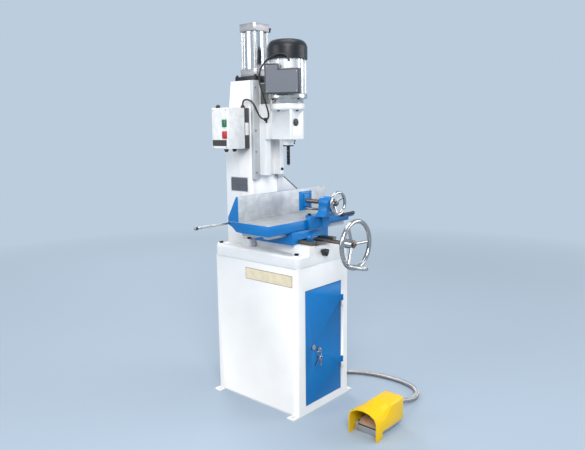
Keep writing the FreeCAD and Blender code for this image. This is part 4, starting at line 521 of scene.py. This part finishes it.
def slab(bm, low, high, ease, segments=1, turn=None, about=(0, 0, 0)):
    """A block between two corners with eased edges."""
    low, high = Vector(low), Vector(high)
    made = bmesh.ops.create_cube(bm, size=1.0)["verts"]
    bmesh.ops.scale(bm, vec=high - low, verts=made)
    bmesh.ops.translate(bm, vec=(high + low) / 2, verts=made)
    edges = {edge for vert in made for edge in vert.link_edges}
    made = list(round_edges(bm, edges, ease, segments))
    if turn:
        shift(bm, made, about, turn)
    return made


def lathe(bm, profile, move=(0, 0, 0), way="Z", steps=48):
    """Spin (radius, height) points into a turned shape that points along way."""
    before = set(bm.verts)
    verts = [bm.verts.new((radius, 0.0, height)) for radius, height in profile]
    edges = [bm.edges.new(pair) for pair in zip(verts, verts[1:])]
    bmesh.ops.spin(bm, geom=verts + edges, cent=(0, 0, 0), axis=(0, 0, 1),
                   angle=math.tau, steps=steps, use_merge=True)
    made = [vert for vert in bm.verts if vert not in before]
    bmesh.ops.remove_doubles(bm, verts=made, dist=1e-7)
    made = [vert for vert in bm.verts if vert.is_valid and vert not in before]
    faces = list({face for vert in made for face in vert.link_faces})
    bmesh.ops.recalc_face_normals(bm, faces=faces)
    shift(bm, made, move, facing(way))
    return made


def hex_head(bm, radius, height, washer, move, way):
    """A hexagon bolt head with a chamfered crown, on a washer of a thickness or on none."""
    made = bmesh.ops.create_cone(bm, segments=6, radius1=radius, radius2=radius, depth=height,
                                 cap_ends=True)["verts"]
    bmesh.ops.translate(bm, vec=(0, 0, height / 2 + washer), verts=made)
    top = {edge for vert in made for edge in vert.link_edges
           if all(end.co.z > height * 0.9 for end in edge.verts)}
    rounded = round_edges(bm, top, radius * 0.13)
    made = rounded | {vert for vert in made if vert.is_valid}
    shift(bm, list(made), move, facing(way))
    if washer:
        lathe(bm, [(0, 0), (radius * 1.35, 0), (radius * 1.35, washer * 0.8),
                   (radius * 1.3, washer), (0, washer)], move, way, 24)


def radial(bm, profile, centre, reach, way, steps=16):
    """A small turned part that points along way, with its foot at a reach from the centre."""
    made = lathe(bm, profile, steps=steps)
    shift(bm, made, Vector(centre) + way @ Vector((0, 0, reach)), way)


def cap_screw(bm, radius, height, move, way):
    """A socket cap screw's head with its hexagon socket sunk in."""
    lathe(bm, [(0, height - radius * 0.5), (radius * 0.5, height - radius * 0.5),
               (radius * 0.5, height - radius * 0.02), (radius * 0.55, height),
               (radius * 0.88, height), (radius, height - radius * 0.14), (radius, 0), (0, 0)],
          move, way, 18)


def dome_screw(bm, radius, height, move, way):
    """A pan head with a cross recess left as a shallow dimple."""
    lathe(bm, [(0, height * 0.62), (radius * 0.30, height * 0.92), (radius * 0.42, height),
               (radius * 0.80, height * 0.72), (radius, height * 0.25), (radius, 0), (0, 0)],
          move, way, 18)


def fasteners(name, finish, body, head, size, places, way="Z"):
    """A piece of like heads; head is the function that makes one of that size."""
    bm = bmesh.new()
    for place in places:
        head(bm, *size, place, way)
    link_mesh(name, bm, finish, body)


def route_curve(name, points, thickness, steps):
    """One open smooth spline through free space, as wide as the lead."""
    curve = bpy.data.curves.new(name, "CURVE")
    curve.dimensions = "3D"
    curve.resolution_u = steps
    curve.render_resolution_u = steps
    curve.bevel_depth = thickness / 2
    curve.bevel_resolution = 5
    curve.use_fill_caps = True
    spline = curve.splines.new("NURBS")
    spline.points.add(len(points) - 1)
    for knot, place in zip(spline.points, points):
        knot.co = (*place, 1.0)
    spline.order_u = 3
    spline.use_endpoint_u = True
    piece = bpy.data.objects.new(name, curve)
    bpy.context.scene.collection.objects.link(piece)
    return piece


def centre_line(piece):
    """The points that the spline itself passes through."""
    plain = piece.copy()
    plain.data = piece.data.copy()
    plain.data.bevel_depth = 0.0
    bpy.context.scene.collection.objects.link(plain)
    bpy.context.view_layer.update()
    mesh = bpy.data.meshes.new_from_object(plain)
    points = [vert.co.copy() for vert in mesh.vertices]
    bpy.data.meshes.remove(mesh)
    bpy.data.objects.remove(plain)
    return points


def tube_mesh(piece):
    """Turn a bevelled curve into a bmesh tube and take the curve away."""
    bpy.context.view_layer.update()
    mesh = bpy.data.meshes.new_from_object(piece)
    bpy.data.objects.remove(piece)
    bm = bmesh.new()
    bm.from_mesh(mesh)
    bpy.data.meshes.remove(mesh)
    bmesh.ops.remove_doubles(bm, verts=bm.verts, dist=1e-6)
    return bm


# ------------------------------------------------------------------ operators
def place_camera(scene):
    """The studio camera, from the front left and a little above."""
    eye = bpy.data.cameras.new("camera")
    eye.lens, eye.sensor_width = CAMERA_LENS, CAMERA_SENSOR
    camera = bpy.data.objects.new("camera", eye)
    scene.collection.objects.link(camera)
    across, along = math.sin(CAMERA_YAW), math.cos(CAMERA_YAW)
    ahead = Vector((across * math.cos(CAMERA_PITCH), along * math.cos(CAMERA_PITCH),
                    -math.sin(CAMERA_PITCH)))
    level = Vector((along, -across, 0.0))
    upright = level.cross(ahead)
    right = math.cos(CAMERA_ROLL) * level + math.sin(CAMERA_ROLL) * upright
    up = -math.sin(CAMERA_ROLL) * level + math.cos(CAMERA_ROLL) * upright
    turn = Matrix((right, up, -ahead)).transposed().to_4x4()
    camera.matrix_world = Matrix.Translation(CAMERA_PLACE) @ turn
    scene.camera = camera


def hang_backdrop(scene, tint):
    """A world that lights softly, and shows its own tint to the eye and in metal."""
    world = bpy.data.worlds.new("studio")
    scene.world = world
    world.use_nodes = True
    tree = world.node_tree
    back = tree.nodes["Background"]
    feed(back, {"Color": SKY_TINT, "Strength": SKY_STRENGTH})
    seen = add(tree, "Background", {"Color": tint, "Strength": 1.0})
    rays = add(tree, "LightPath", {}).outputs
    shown = rays["Is Camera Ray"]
    for ray in ("Is Glossy Ray", "Is Transmission Ray"):
        shown = arithmetic("MAXIMUM", shown, rays[ray])
    mix = add(tree, "MixShader", {0: shown, 1: back.outputs[0], 2: seen.outputs[0]})
    feed(tree.nodes["World Output"], {"Surface": mix.outputs[0]})


def lay_floor(scene, tint):
    """A round floor that takes shadows and fades into the backdrop."""
    bm = bmesh.new()
    bmesh.ops.create_circle(bm, cap_ends=True, segments=96, radius=FLOOR_RADIUS)
    mesh = bpy.data.meshes.new("studio_floor")
    bm.to_mesh(mesh)
    bm.free()
    ground = bpy.data.objects.new("studio_floor", mesh)
    scene.collection.objects.link(ground)
    shader, where = fresh("studio_floor")
    feed(shader, {"Base Color": shaded(tint, FLOOR_SHADE), "Roughness": 0.9,
                  "Specular IOR Level": 0.1})
    tree = where.id_data
    reach = add(tree, "VectorMath", {0: where}, operation="LENGTH").outputs["Value"]
    glow = add(tree, "Emission", {"Color": tint})
    far = add(tree, "MixShader", {0: span(reach, GLOW_FROM, GLOW_FULL, 0.0, 1.0),
                                  1: shader.outputs[0], 2: glow.outputs[0]})
    feed(tree.nodes["Material Output"], {"Surface": far.outputs[0]})
    mesh.materials.append(FINISHES["studio_floor"])


def hang_lamps(scene):
    """Soft round lamps, each turned to the middle of the machine."""
    for name, place, aim, size, power in LAMPS:
        lamp = bpy.data.lights.new(name, "AREA")
        lamp.shape, lamp.size, lamp.energy = "DISK", size, power
        holder = bpy.data.objects.new(name, lamp)
        scene.collection.objects.link(holder)
        holder.location = place
        holder.rotation_euler = (Vector((0, 0, aim)) - Vector(place)).to_track_quat(
            "-Z", "Y").to_euler()


class MORTISER_OT_stage(bpy.types.Operator):
    """Camera, soft studio lamps, pale floor and world"""
    bl_idname = "mortiser.stage"
    bl_label = "Studio Stage"

    def execute(self, context):
        scene = context.scene
        scene.view_settings.view_transform = "Standard"
        tint = scene.mortiser_paint.floor
        place_camera(scene)
        hang_backdrop(scene, tint)
        lay_floor(scene, tint)
        hang_lamps(scene)
        return {"FINISHED"}


def press_ribs(bm, line, sizes):
    """Draw the tube in between its ribs, ring by ring."""
    finder = KDTree(len(line))
    run, total = [], 0.0
    for index, point in enumerate(line):
        finder.insert(point, index)
        total += (point - line[index - 1]).length if index else 0.0
        run.append(total)
    finder.balance()
    groove = bm.verts.layers.float.new("groove")
    share = sizes.rib_depth / (sizes.conduit / 2)
    for vert in bm.verts:
        centre, index, _ = finder.find(vert.co)
        wave = 0.5 - 0.5 * math.cos(math.tau * run[index] / sizes.rib_pitch)
        depth = wave ** 2
        # the depth is kept as the groove attribute, which paints shade into the grooves
        vert[groove] = depth
        vert.co = centre + (vert.co - centre) * (1 - depth * share)


class MORTISER_OT_conduit(bpy.types.Operator):
    """Ribbed metal conduit from the cabinet to the foot switch"""
    bl_idname = "mortiser.conduit"
    bl_label = "Foot Switch Conduit"

    def execute(self, context):
        sizes = context.scene.mortiser_sizes
        route = route_curve("conduit_route", CONDUIT_ROUTE, sizes.conduit, 80)
        line = centre_line(route)
        bm = tube_mesh(route)
        press_ribs(bm, line, sizes)
        piece = link_mesh("conduit_ribbed", bm, "galvanised strip", "stand", 60.0)
        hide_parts("foot_conduit")
        return {"FINISHED"}


class MORTISER_OT_leads(bpy.types.Operator):
    """Rubber leads from the switch box to the head and up to the motor"""
    bl_idname = "mortiser.leads"
    bl_label = "Rubber Leads"

    def execute(self, context):
        thick = context.scene.mortiser_sizes.lead
        bed_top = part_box("column")[0].z
        for name, node, heights, body in (
                ("lead_to_head", "head_lead", HEAD_LEAD_ROUTE, None),
                ("lead_to_motor", "motor_lead", MOTOR_LEAD_ROUTE, "head")):
            route = [(x, y, z + bed_top) for x, y, z in heights]
            curve = route_curve(f"{name}_route", route, thick, 14)
            line = centre_line(curve)
            piece = link_mesh(name, tube_mesh(curve), "black rubber", body,
                              60.0)
            if not body:
                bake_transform(piece, "stand", "head", start=route[0], end=route[-1])
            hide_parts(node)
        return {"FINISHED"}


class MORTISER_OT_cabinet(bpy.types.Operator):
    """Folded sheet cabinet, its door, hinges, lock and keys"""
    bl_idname = "mortiser.cabinet"
    bl_label = "Cabinet and Door"

    def execute(self, context):
        dress(("cabinet_shell", "white sheet", 0.0012), ("door_panel", "blue sheet", 0.0010),
              ("hinge_pins", "steel"), ("lock_barrel", "chrome", 0.0006),
              ("lock_plug_and_key", "chrome", 0.0004), ("key_ring", "chrome"))
        return {"FINISHED"}


class MORTISER_OT_bed(bpy.types.Operator):
    """Bed casting with its bare dovetail ways and its bolts"""
    bl_idname = "mortiser.bed"
    bl_label = "Bed Casting"

    def execute(self, context):
        dress(("bed", "bed and ways", 0.0010), ("machine_bolts", "blacked steel", 0.0008))
        return {"FINISHED"}


def guide_screws(radius):
    """A row of screws in each guide plate."""
    low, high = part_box("guide_plates")
    across, inset, gaps = 0.0785, 0.028, 4
    pitch = (high.z - low.z - 2 * inset) / gaps
    fasteners("guide_plate_screws", "screw grey", "stand", cap_screw, (radius, 0.002),
              [(side * across, low.y, low.z + inset + step * pitch)
               for side in (-1, 1) for step in range(gaps + 1)], "-Y")


def guard_edging():
    """Rubber strip along the chip guard's sloping edge."""
    low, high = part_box("chip_guard")
    start = Vector((low.x + 0.030, 0, high.z))
    end = Vector((high.x, 0, low.z + 0.003))
    slope = end - start
    lean = math.atan2(slope.z, slope.x)
    bm = bmesh.new()
    slab(bm, (0.0, low.y - 0.0014, -0.0040),
         (slope.length - 0.001, high.y + 0.0002, -0.0001),
         0.0006, 1, Matrix.Rotation(-lean, 3, "Y"), start)
    link_mesh("chip_guard_edging", bm, "black rubber", "stand")


class MORTISER_OT_column(bpy.types.Operator):
    """Column casting, its guide plates with their screws and the chip guard"""
    bl_idname = "mortiser.column"
    bl_label = "Column"

    def execute(self, context):
        dress(("column", "column enamel", 0.0015), ("guide_plates", "guide grey", 0.0008),
              ("chip_guard", "white sheet", 0.0005))
        guide_screws(context.scene.mortiser_sizes.cap_screw)
        guard_edging()
        return {"FINISHED"}


class MORTISER_OT_cylinder(bpy.types.Operator):
    """Tie-rod air cylinder on its plate, with bolts, sockets and air fittings"""
    bl_idname = "mortiser.cylinder"
    bl_label = "Air Cylinder"

    def execute(self, context):
        dress(("cylinder_plate", "black satin", 0.0012), ("cylinder_caps", "cap grey", 0.0010),
              ("cylinder_tube", "polished tube"), ("tie_rods", "steel"),
              ("glands_and_fittings", "black plastic", 0.0007), ("piston_rod", "chrome"))
        plate_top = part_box("cylinder_plate")[1].z
        fasteners("cylinder_plate_bolts", "blacked steel", "stand", hex_head,
                  (0.0052, 0.006, 0.0008),
                  [(x, CYLINDER_Y + y, plate_top) for x, y in corners(0.0532)])
        cap_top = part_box("cylinder_caps")[1].z
        fasteners("tie_rod_sockets", "blacked steel", "stand", cap_screw,
                  (0.0048, 0.0011),
                  [(x, CYLINDER_Y + y, cap_top - 0.0012) for x, y in corners(0.036)])
        return {"FINISHED"}


class MORTISER_OT_switch_box(bpy.types.Operator):
    """Starter box: grey base, white cover, buttons, cover screws and bare labels"""
    bl_idname = "mortiser.switch_box"
    bl_label = "Switch Box"

    def execute(self, context):
        gauge = context.scene.mortiser_sizes.plate_gauge
        dress(("switch_base", "slate enamel", 0.0015), ("switch_cover", "white plastic", 0.0012),
              ("start_button", "green plastic", 0.0010), ("stop_button", "red plastic", 0.0010))
        sunk = 0.0002
        low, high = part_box("switch_cover")
        bm = bmesh.new()
        slab(bm, (low.x - gauge, 0.092, 1.074), (low.x + sunk, 0.1745, 1.098), 0.0004)
        link_mesh("switch_dark_label", bm, "label black", "stand")
        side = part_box("switch_base")[0].y
        bm = bmesh.new()
        slab(bm, (-0.115, side - gauge, 1.116), (-0.095, side + sunk, 1.166), 0.0004)
        link_mesh("switch_pale_label", bm, "white plastic", "stand")
        fasteners("switch_cover_screws", "steel", "stand", dome_screw, (0.0032, 0.0014),
                  [(low.x, y, z) for y in (low.y + 0.009, high.y - 0.009)
                   for z in (low.z + 0.006, high.z - 0.009)], "-X")
        return {"FINISHED"}


class MORTISER_OT_plates(bpy.types.Operator):
    """Bare plates on the column and the cabinet"""
    bl_idname = "mortiser.plates"
    bl_label = "Bare Plates"

    def execute(self, context):
        gauge = context.scene.mortiser_sizes.plate_gauge
        sunk, proud = 0.0002, 0.0003
        for name, face, low, high, inset, rim, middle, slots in (
                ("column_plate", -0.090, (0.099, 0.879), (0.203, 0.941), 0.0028,
                 "aluminium", "label grey", ("aluminium", "grey_paint")),
                ("cabinet_label", -0.160, (-0.203, 0.530), (0.054, 0.577), 0.0018,
                 "label brown", "label cream", ("bronze", "cream_paint"))):
            outer = face - gauge
            bm = bmesh.new()
            slab(bm, (outer, *low), (face + sunk, *high), 0.0004)
            link_mesh(f"{name}_border", bm, rim, "stand")
            bm = bmesh.new()
            slab(bm, (outer - proud, low[0] + inset, low[1] + inset),
                 (outer + sunk, high[0] - inset, high[1] - inset), 0.0001)
            link_mesh(name, bm, middle, "stand")
        fasteners("column_plate_rivets", "aluminium", "stand", dome_screw,
                  (0.0017, 0.0010),
                  [(-0.0913, y, z) for y in (0.1045, 0.1975) for z in (0.8845, 0.9355)], "-X")
        return {"FINISHED"}


def head_bolts():
    """Bolts under the head's round flange, and the screw at the slide's foot."""
    circle, flange_under = 0.0590, HEAD_TOP - 0.026
    bm = bmesh.new()
    for degrees in (183, 261, 357):
        angle = math.radians(degrees)
        hex_head(bm, 0.0055, 0.0050, 0.0,
                 (SPINDLE[0] + circle * math.cos(angle),
                  SPINDLE[1] + circle * math.sin(angle), flange_under + 0.0003), "-Z")
    cap_screw(bm, 0.0058, 0.0055, (0.0395, 0.025, 0.972), "-Y")
    link_mesh("head_bolts", bm, "blacked steel", "head")


def bush_ring():
    """Dark ring round the end of the nose, over the bush's rim; it stands partly for the bush's dark rim and
    partly for painted shade under the nose's end.
    """
    bm = bmesh.new()
    lathe(bm, [(0.0190, -0.0002), (0.0207, -0.0002), (0.0213, 0.0004), (0.0219, 0.0048),
               (0.0214, 0.0053), (0.0190, 0.0053), (0.0190, -0.0002)],
          (*SPINDLE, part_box("chisel_bush")[0].z))
    # black ring: partly the bush's rim, partly painted shade under the end of the nose
    link_mesh("bush_rim_and_painted_shade", bm, "black rubber", "head")


def set_screws():
    """Two screws in the nose that clamp the chisel."""
    bm = bmesh.new()
    for degrees, z, proud in ((-40, 1.0905, 0.0075), (-52, 1.0815, 0.0050)):
        way = about_z(degrees) @ facing("X")
        radial(bm, [(0, 0), (0.0036, 0), (0.0036, proud - 0.0006), (0.0030, proud),
                    (0, proud)], (*SPINDLE, z), 0.0225, way)
    link_mesh("chisel_set_screws", bm, "blacked steel", "head")


class MORTISER_OT_head(bpy.types.Operator):
    """Head casting on its slide, with flange bolts, plug, clip, chisel and bit"""
    bl_idname = "mortiser.head"
    bl_label = "Head"

    def execute(self, context):
        dress(("head_slide", "white casting", 0.0012), ("head_casting", "white casting", 0.0016),
              ("access_plug", "black rubber", 0.0010), ("chisel_bush", "blacked steel", 0.0006),
              ("hollow_chisel", "blacked steel", 0.0004), ("lead_clip", "black plastic"),
              ("rotor_shaft", "steel"), ("auger_bit", "steel"), ("drill_chuck", "blacked steel"),
              ("cooling_fan", "black plastic"))
        head_bolts()
        bush_ring()
        set_screws()
        return {"FINISHED"}


def fan_cowl(radius, bottom, top):
    """The fan cowl's smooth dome and rolled lip, as one wall with an inside."""
    outer = [(radius - 0.0020, bottom), (radius, bottom + 0.0012), (radius, top - 0.034)]
    inner = [(0.0, top - 0.0026), (radius - 0.034, top - 0.0026)]
    turns = [math.radians(90 * step / 12) for step in range(1, 13)]
    for angle in turns:
        outer.append((radius - 0.033 + 0.033 * math.cos(angle),
                      top - 0.034 + 0.0335 * math.sin(angle)))
    outer.append((0.0, top - 0.0003))
    for angle in (*reversed(turns[:-1]), 0.0):
        inner.append((radius - 0.034 + 0.031 * math.cos(angle),
                      top - 0.036 + 0.0320 * math.sin(angle)))
    inner.append((radius - 0.0030, bottom))
    bm = bmesh.new()
    lathe(bm, outer + inner + [outer[0]], (*SPINDLE, 0.0), steps=96)
    piece = link_mesh("fan_cowl_pressing", bm, "black satin", "head", 50.0)
    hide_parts("fan_cowl")


def cowl_grille(top, rings):
    """Rings and spokes on top of the cowl."""
    first, pitch, sunk = 0.0105, 0.0072, -0.0008
    bm = bmesh.new()
    for ring in range(rings):
        reach = first + ring * pitch
        lathe(bm, [(reach - 0.0016, sunk), (reach - 0.0012, 0.0), (reach + 0.0012, 0.0),
                   (reach + 0.0016, sunk), (reach - 0.0016, sunk)],
              (*SPINDLE, top), steps=64)
    for degrees in (45, 135, 225, 315):
        made = slab(bm, (0.004, -0.0014, sunk), (0.0410, 0.0014, -0.0001), 0.0003)
        shift(bm, made, (*SPINDLE, top), about_z(degrees))
    link_mesh("cowl_grille_rings", bm, "slate enamel", "head")


def cowl_screws(radius, bottom):
    """Screws round the cowl's lip."""
    bm = bmesh.new()
    for degrees in (10, 100, 190, 280):
        way = about_z(degrees) @ facing("X")
        radial(bm, [(0, 0.0012), (0.0014, 0.0019), (0.0020, 0.0021), (0.0034, 0.0014),
                    (0.0038, 0), (0, 0)], (*SPINDLE, bottom + 0.010), radius - 0.0021, way)
    link_mesh("cowl_screws", bm, "steel", "head")


def shield_lugs():
    """Four bolted lugs round the lower end shield."""
    base = Vector((*SPINDLE, HEAD_TOP))
    bm, bolts = bmesh.new(), bmesh.new()
    for degrees in (258, 348, 78, 168):
        turn = about_z(degrees)
        made = slab(bm, (0.060, -0.0085, 0.0195), (0.0790, 0.0085, 0.0365), 0.0022, 2)
        shift(bm, made, base, turn)
        hex_head(bolts, 0.0050, 0.0050, 0.0, base + turn @ Vector((0.0725, 0, 0.0197)), "-Z")
    link_mesh("shield_lugs", bm, "polished shield", "head")
    link_mesh("shield_bolts", bolts, "blacked steel", "head")


def terminal_lid():
    """Raised lid in two steps and its screws on the terminal box."""
    turn = about_z(TERMINAL_TURN)
    place = Vector((*SPINDLE, TERMINAL_BASE))
    face = -0.1049
    bm = bmesh.new()
    for low, high in (((-0.0720, 0.006), (0.058, 0.090)), ((0.010, 0.090), (0.058, 0.110))):
        made = slab(bm, (face, *low), (face + 0.0011, *high), 0.0004)
        shift(bm, made, place, turn)
    link_mesh("terminal_lid", bm, "lid slate", "head")
    bm = bmesh.new()
    for y, z in ((-0.0665, 0.0115), (0.0525, 0.0115), (-0.0665, 0.0845), (0.0525, 0.1045)):
        radial(bm, [(0, 0.0008), (0.0014, 0.0014), (0.0018, 0.0016), (0.0026, 0.0010),
                    (0.0028, 0), (0, 0)], place + turn @ Vector((face, y, z)), 0.0,
               turn @ facing("-X"), 14)
    link_mesh("terminal_lid_screws", bm, "chrome", "head")


class MORTISER_OT_motor(bpy.types.Operator):
    """Motor: finned body, polished end shield with lugs, terminal box and fan cowl"""
    bl_idname = "mortiser.motor"
    bl_label = "Motor"

    def execute(self, context):
        dress(("motor_housing", "ribbed aluminium"),
              ("motor_end_shield", "polished shield", 0.0008),
              ("terminal_box", "slate enamel", 0.0018), ("motor_gland", "white plastic", 0.0008))
        low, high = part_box("fan_cowl")
        radius = (high.x - low.x) / 2
        fan_cowl(radius, low.z, high.z)
        cowl_grille(high.z, context.scene.mortiser_sizes.cowl_rings)
        cowl_screws(radius, low.z)
        shield_lugs()
        terminal_lid()
        return {"FINISHED"}


class MORTISER_OT_saddle(bpy.types.Operator):
    """Cross slide with its gibs, adjusting screws, bushes and nut"""
    bl_idname = "mortiser.saddle"
    bl_label = "Saddle"

    def execute(self, context):
        dress(("saddle", "saddle and ways", 0.0010), ("saddle_gibs", "bronze"),
              ("bushes_and_nut", "bronze"), ("cross_screw", "steel"),
              ("cross_knob", "black plastic", 0.0012))
        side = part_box("saddle")[1].x
        first, pitch, height = -0.140, 0.048, 0.6935
        bm = bmesh.new()
        for step in range(4):
            place = (side, first + step * pitch, height)
            hex_head(bm, 0.0058, 0.0040, 0.0006, place, "X")
            lathe(bm, [(0, 0), (0.0028, 0), (0.0028, 0.0095), (0.0022, 0.0102), (0, 0.0102)],
                  place, "X", 16)
        link_mesh("gib_screws", bm, "blacked steel", "cross_slide")
        return {"FINISHED"}


class MORTISER_OT_table(bpy.types.Operator):
    """Sliding table, fence and their bolts, with the end stop and locking lever"""
    bl_idname = "mortiser.table"
    bl_label = "Table and Fence"

    def execute(self, context):
        dress(("table", "planed table", 0.0010), ("fence", "planed fence", 0.0010),
              ("rack", "steel across"), ("stop_rod", "steel across", 0.0006),
              ("lock_lever", "black plastic", 0.0008))
        fasteners("fence_bolts", "blacked steel", "work_table", hex_head,
                  (0.0075, 0.0060, 0.0012),
                  [(x, 0.038, 0.795) for x in (-0.190, -0.030, 0.130, 0.255)])
        rod_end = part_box("stop_rod")[0].x
        bm = bmesh.new()
        lathe(bm, [(0, 0), (0.0052, 0), (0.0062, 0.0012), (0.0062, 0.0130), (0.0056, 0.0142),
                   (0, 0.0142)], (rod_end + 0.0001, 0.050, 0.772), "X", 32)
        link_mesh("stop_rod_tip", bm, "black rubber", "end_stop")
        return {"FINISHED"}


def vise_screw(pitch):
    """The vise screw: a plain core and its running thread."""
    low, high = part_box("vise_screw")
    place = (VISE_X, low.y, VISE_Z)
    radius, end = (high.x - low.x) / 2, high.y - low.y
    root, core = radius - 0.0013, radius - 0.0017
    thread_from, thread_to, steps = 0.034, end - 0.010, 28
    turns = int((thread_to - thread_from) / pitch)
    bm = bmesh.new()
    verts = [bm.verts.new((reach, 0, thread_from + pitch * share)) for reach, share in (
        (root, 0.0), (root, 0.12), (radius, 0.42), (radius, 0.58), (root, 0.88),
        (root, 1.0))]
    edges = [bm.edges.new(pair) for pair in zip(verts, verts[1:])]
    bmesh.ops.spin(bm, geom=verts + edges, cent=(0, 0, 0), axis=(0, 0, 1),
                   dvec=(0, 0, pitch / steps), angle=math.tau * turns,
                   steps=steps * turns, use_merge=False)
    bmesh.ops.remove_doubles(bm, verts=bm.verts, dist=1e-6)
    bmesh.ops.recalc_face_normals(bm, faces=bm.faces)
    shift(bm, list(bm.verts), place, facing("Y"))
    ease = 0.0008
    lathe(bm, [(0, 0), (radius - ease, 0), (radius, ease), (radius, thread_from + 0.001),
               (core, thread_from + 0.003), (core, thread_to - 0.001),
               (radius, thread_to + 0.002), (radius, end - ease), (radius - ease, end),
               (0, end)], place, "Y", 40)
    piece = link_mesh("vise_screw_threaded", bm, "brown steel", "vise_feed", 40.0)
    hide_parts("vise_screw")


class MORTISER_OT_vise(bpy.types.Operator):
    """Screw vise: body, jaw with its boss, threaded screw and base bolts"""
    bl_idname = "mortiser.vise"
    bl_label = "Vise"

    def execute(self, context):
        dress(("vise_body", "blue casting", 0.0016), ("vise_jaw", "jaw and rod", 0.0012))
        low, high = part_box("vise_jaw")
        half = 0.019
        bm = bmesh.new()
        slab(bm, (VISE_X - half, JAW_FRONT - 0.0055, low.z + 0.014),
             (VISE_X + half, JAW_FRONT + 0.0005, high.z - 0.008), 0.0050, 4)
        link_mesh("jaw_screw_boss", bm, "blue casting", "jaw")
        fasteners("vise_base_bolts", "blacked steel", "work_table", hex_head,
                  (0.0070, 0.0056, 0.0012), [(x, -0.142, 0.790) for x in (0.019, 0.097)])
        vise_screw(context.scene.mortiser_sizes.thread_pitch)
        return {"FINISHED"}


class MORTISER_OT_handwheels(bpy.types.Operator):
    """Handwheels with their hub nuts and crank grip, and the feed shaft"""
    bl_idname = "mortiser.handwheels"
    bl_label = "Handwheels"

    def execute(self, context):
        dress(("handwheel", "chrome"), ("vise_handwheel", "chrome"))
        eased_copy("crank_grip", "polished shield", 0.0010, angle=24.0)
        repaint("pinion_shaft", "brown steel")
        washer, sunk = 0.0014, 0.0002
        for name, body, place, radius, height in (
                ("handwheel_nut", "table_feed", (0.0, -0.377, SHAFT_Z), 0.0105, 0.0073),
                ("vise_handwheel_nut", "vise_feed", (VISE_X, -0.249, VISE_Z), 0.0095, 0.0070)):
            fasteners(name, "brown steel", body, hex_head,
                      (radius, height, washer), [Vector(place) + Vector((0, sunk, 0))], "-Y")
        return {"FINISHED"}


def treadle_bars():
    """Raised bars across the treadle that keep a shoe from slipping."""
    low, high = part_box("foot_treadle")
    treadle, rise, heel = 0.112, 0.038, 0.005
    pivot_x = high.x - treadle - 0.006
    slope = math.atan2(rise, treadle + heel)
    foot = Vector((pivot_x - heel, FOOT_Y, high.z - 0.042))
    turn = Matrix.Rotation(-slope, 3, "Y")
    half = (high.y - low.y) / 2 - 0.003
    first, pitch, width = 0.006, 0.0104, 0.0040
    bm = bmesh.new()
    for step in range(11):
        along = first + step * pitch
        made = slab(bm, (along, -half, -0.0002), (along + width, half, 0.0010), 0.0004)
        shift(bm, made, foot, turn)
    link_mesh("treadle_tread", bm, "tan treadle", "pedal")


def guard_screws():
    """Screws sunk in the guard's two side walls."""
    sunk, height = 0.0022, 0.0345
    near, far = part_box("foot_guard")[0].y, FOOT_Y + 0.057
    bm = bmesh.new()
    for x in (0.002, 0.059):
        dome_screw(bm, 0.0048, 0.0024, (x, near + sunk, height), "-Y")
        dome_screw(bm, 0.0048, 0.0024, (x, far - sunk, height), "Y")
    link_mesh("guard_screws", bm, "steel", "stand")


class MORTISER_OT_foot_switch(bpy.types.Operator):
    """Foot switch: hooded guard, base, treadle and side screws"""
    bl_idname = "mortiser.foot_switch"
    bl_label = "Foot Switch"

    def execute(self, context):
        eased_copy("foot_guard", "yellow enamel", 0.0014, sharp=40.0)
        dress(("foot_base", "aluminium", 0.0008), ("foot_treadle", "tan treadle", 0.0010))
        spring = eased_copy("treadle_spring", "steel", 0.0)
        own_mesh(spring)
        treadle_bars()
        guard_screws()
        return {"FINISHED"}


BUILDERS = (
    MORTISER_OT_stage, MORTISER_OT_conduit, MORTISER_OT_leads, MORTISER_OT_cabinet,
    MORTISER_OT_bed, MORTISER_OT_column, MORTISER_OT_cylinder, MORTISER_OT_switch_box,
    MORTISER_OT_plates, MORTISER_OT_head, MORTISER_OT_motor, MORTISER_OT_saddle,
    MORTISER_OT_table, MORTISER_OT_vise, MORTISER_OT_handwheels, MORTISER_OT_foot_switch)


class MORTISER_PT_panel(bpy.types.Panel):
    """Lists the machine's sizes, colours and builders"""
    bl_idname = "MORTISER_PT_panel"
    bl_label = "Mortiser"
    bl_space_type = "VIEW_3D"
    bl_region_type = "UI"
    bl_category = "Mortiser"

    def draw(self, context):
        scene, layout = context.scene, self.layout
        for heading, group in (("Paint", scene.mortiser_paint), ("Metal", scene.mortiser_metal),
                               ("Sizes", scene.mortiser_sizes)):
            column = layout.column(heading=heading)
            for name in group.__annotations__:
                column.prop(group, name)
        for builder in BUILDERS:
            layout.operator(builder.bl_idname)


GROUPS = (("mortiser_paint", MortiserPaint), ("mortiser_metal", MortiserMetal),
          ("mortiser_sizes", MortiserSizes))


def register():
    for name, group in GROUPS:
        bpy.utils.register_class(group)
        setattr(bpy.types.Scene, name, PointerProperty(type=group))
    for builder in (*BUILDERS, MORTISER_PT_panel):
        bpy.utils.register_class(builder)


def unregister():
    for builder in reversed((*BUILDERS, MORTISER_PT_panel)):
        bpy.utils.unregister_class(builder)
    for name, group in reversed(GROUPS):
        delattr(bpy.types.Scene, name)
        bpy.utils.unregister_class(group)


def main():
    register()
    mix_finishes()
    for builder in BUILDERS:
        area, name = builder.bl_idname.split(".")
        getattr(getattr(bpy.ops, area), name)()


if __name__ == "__main__":
    main()
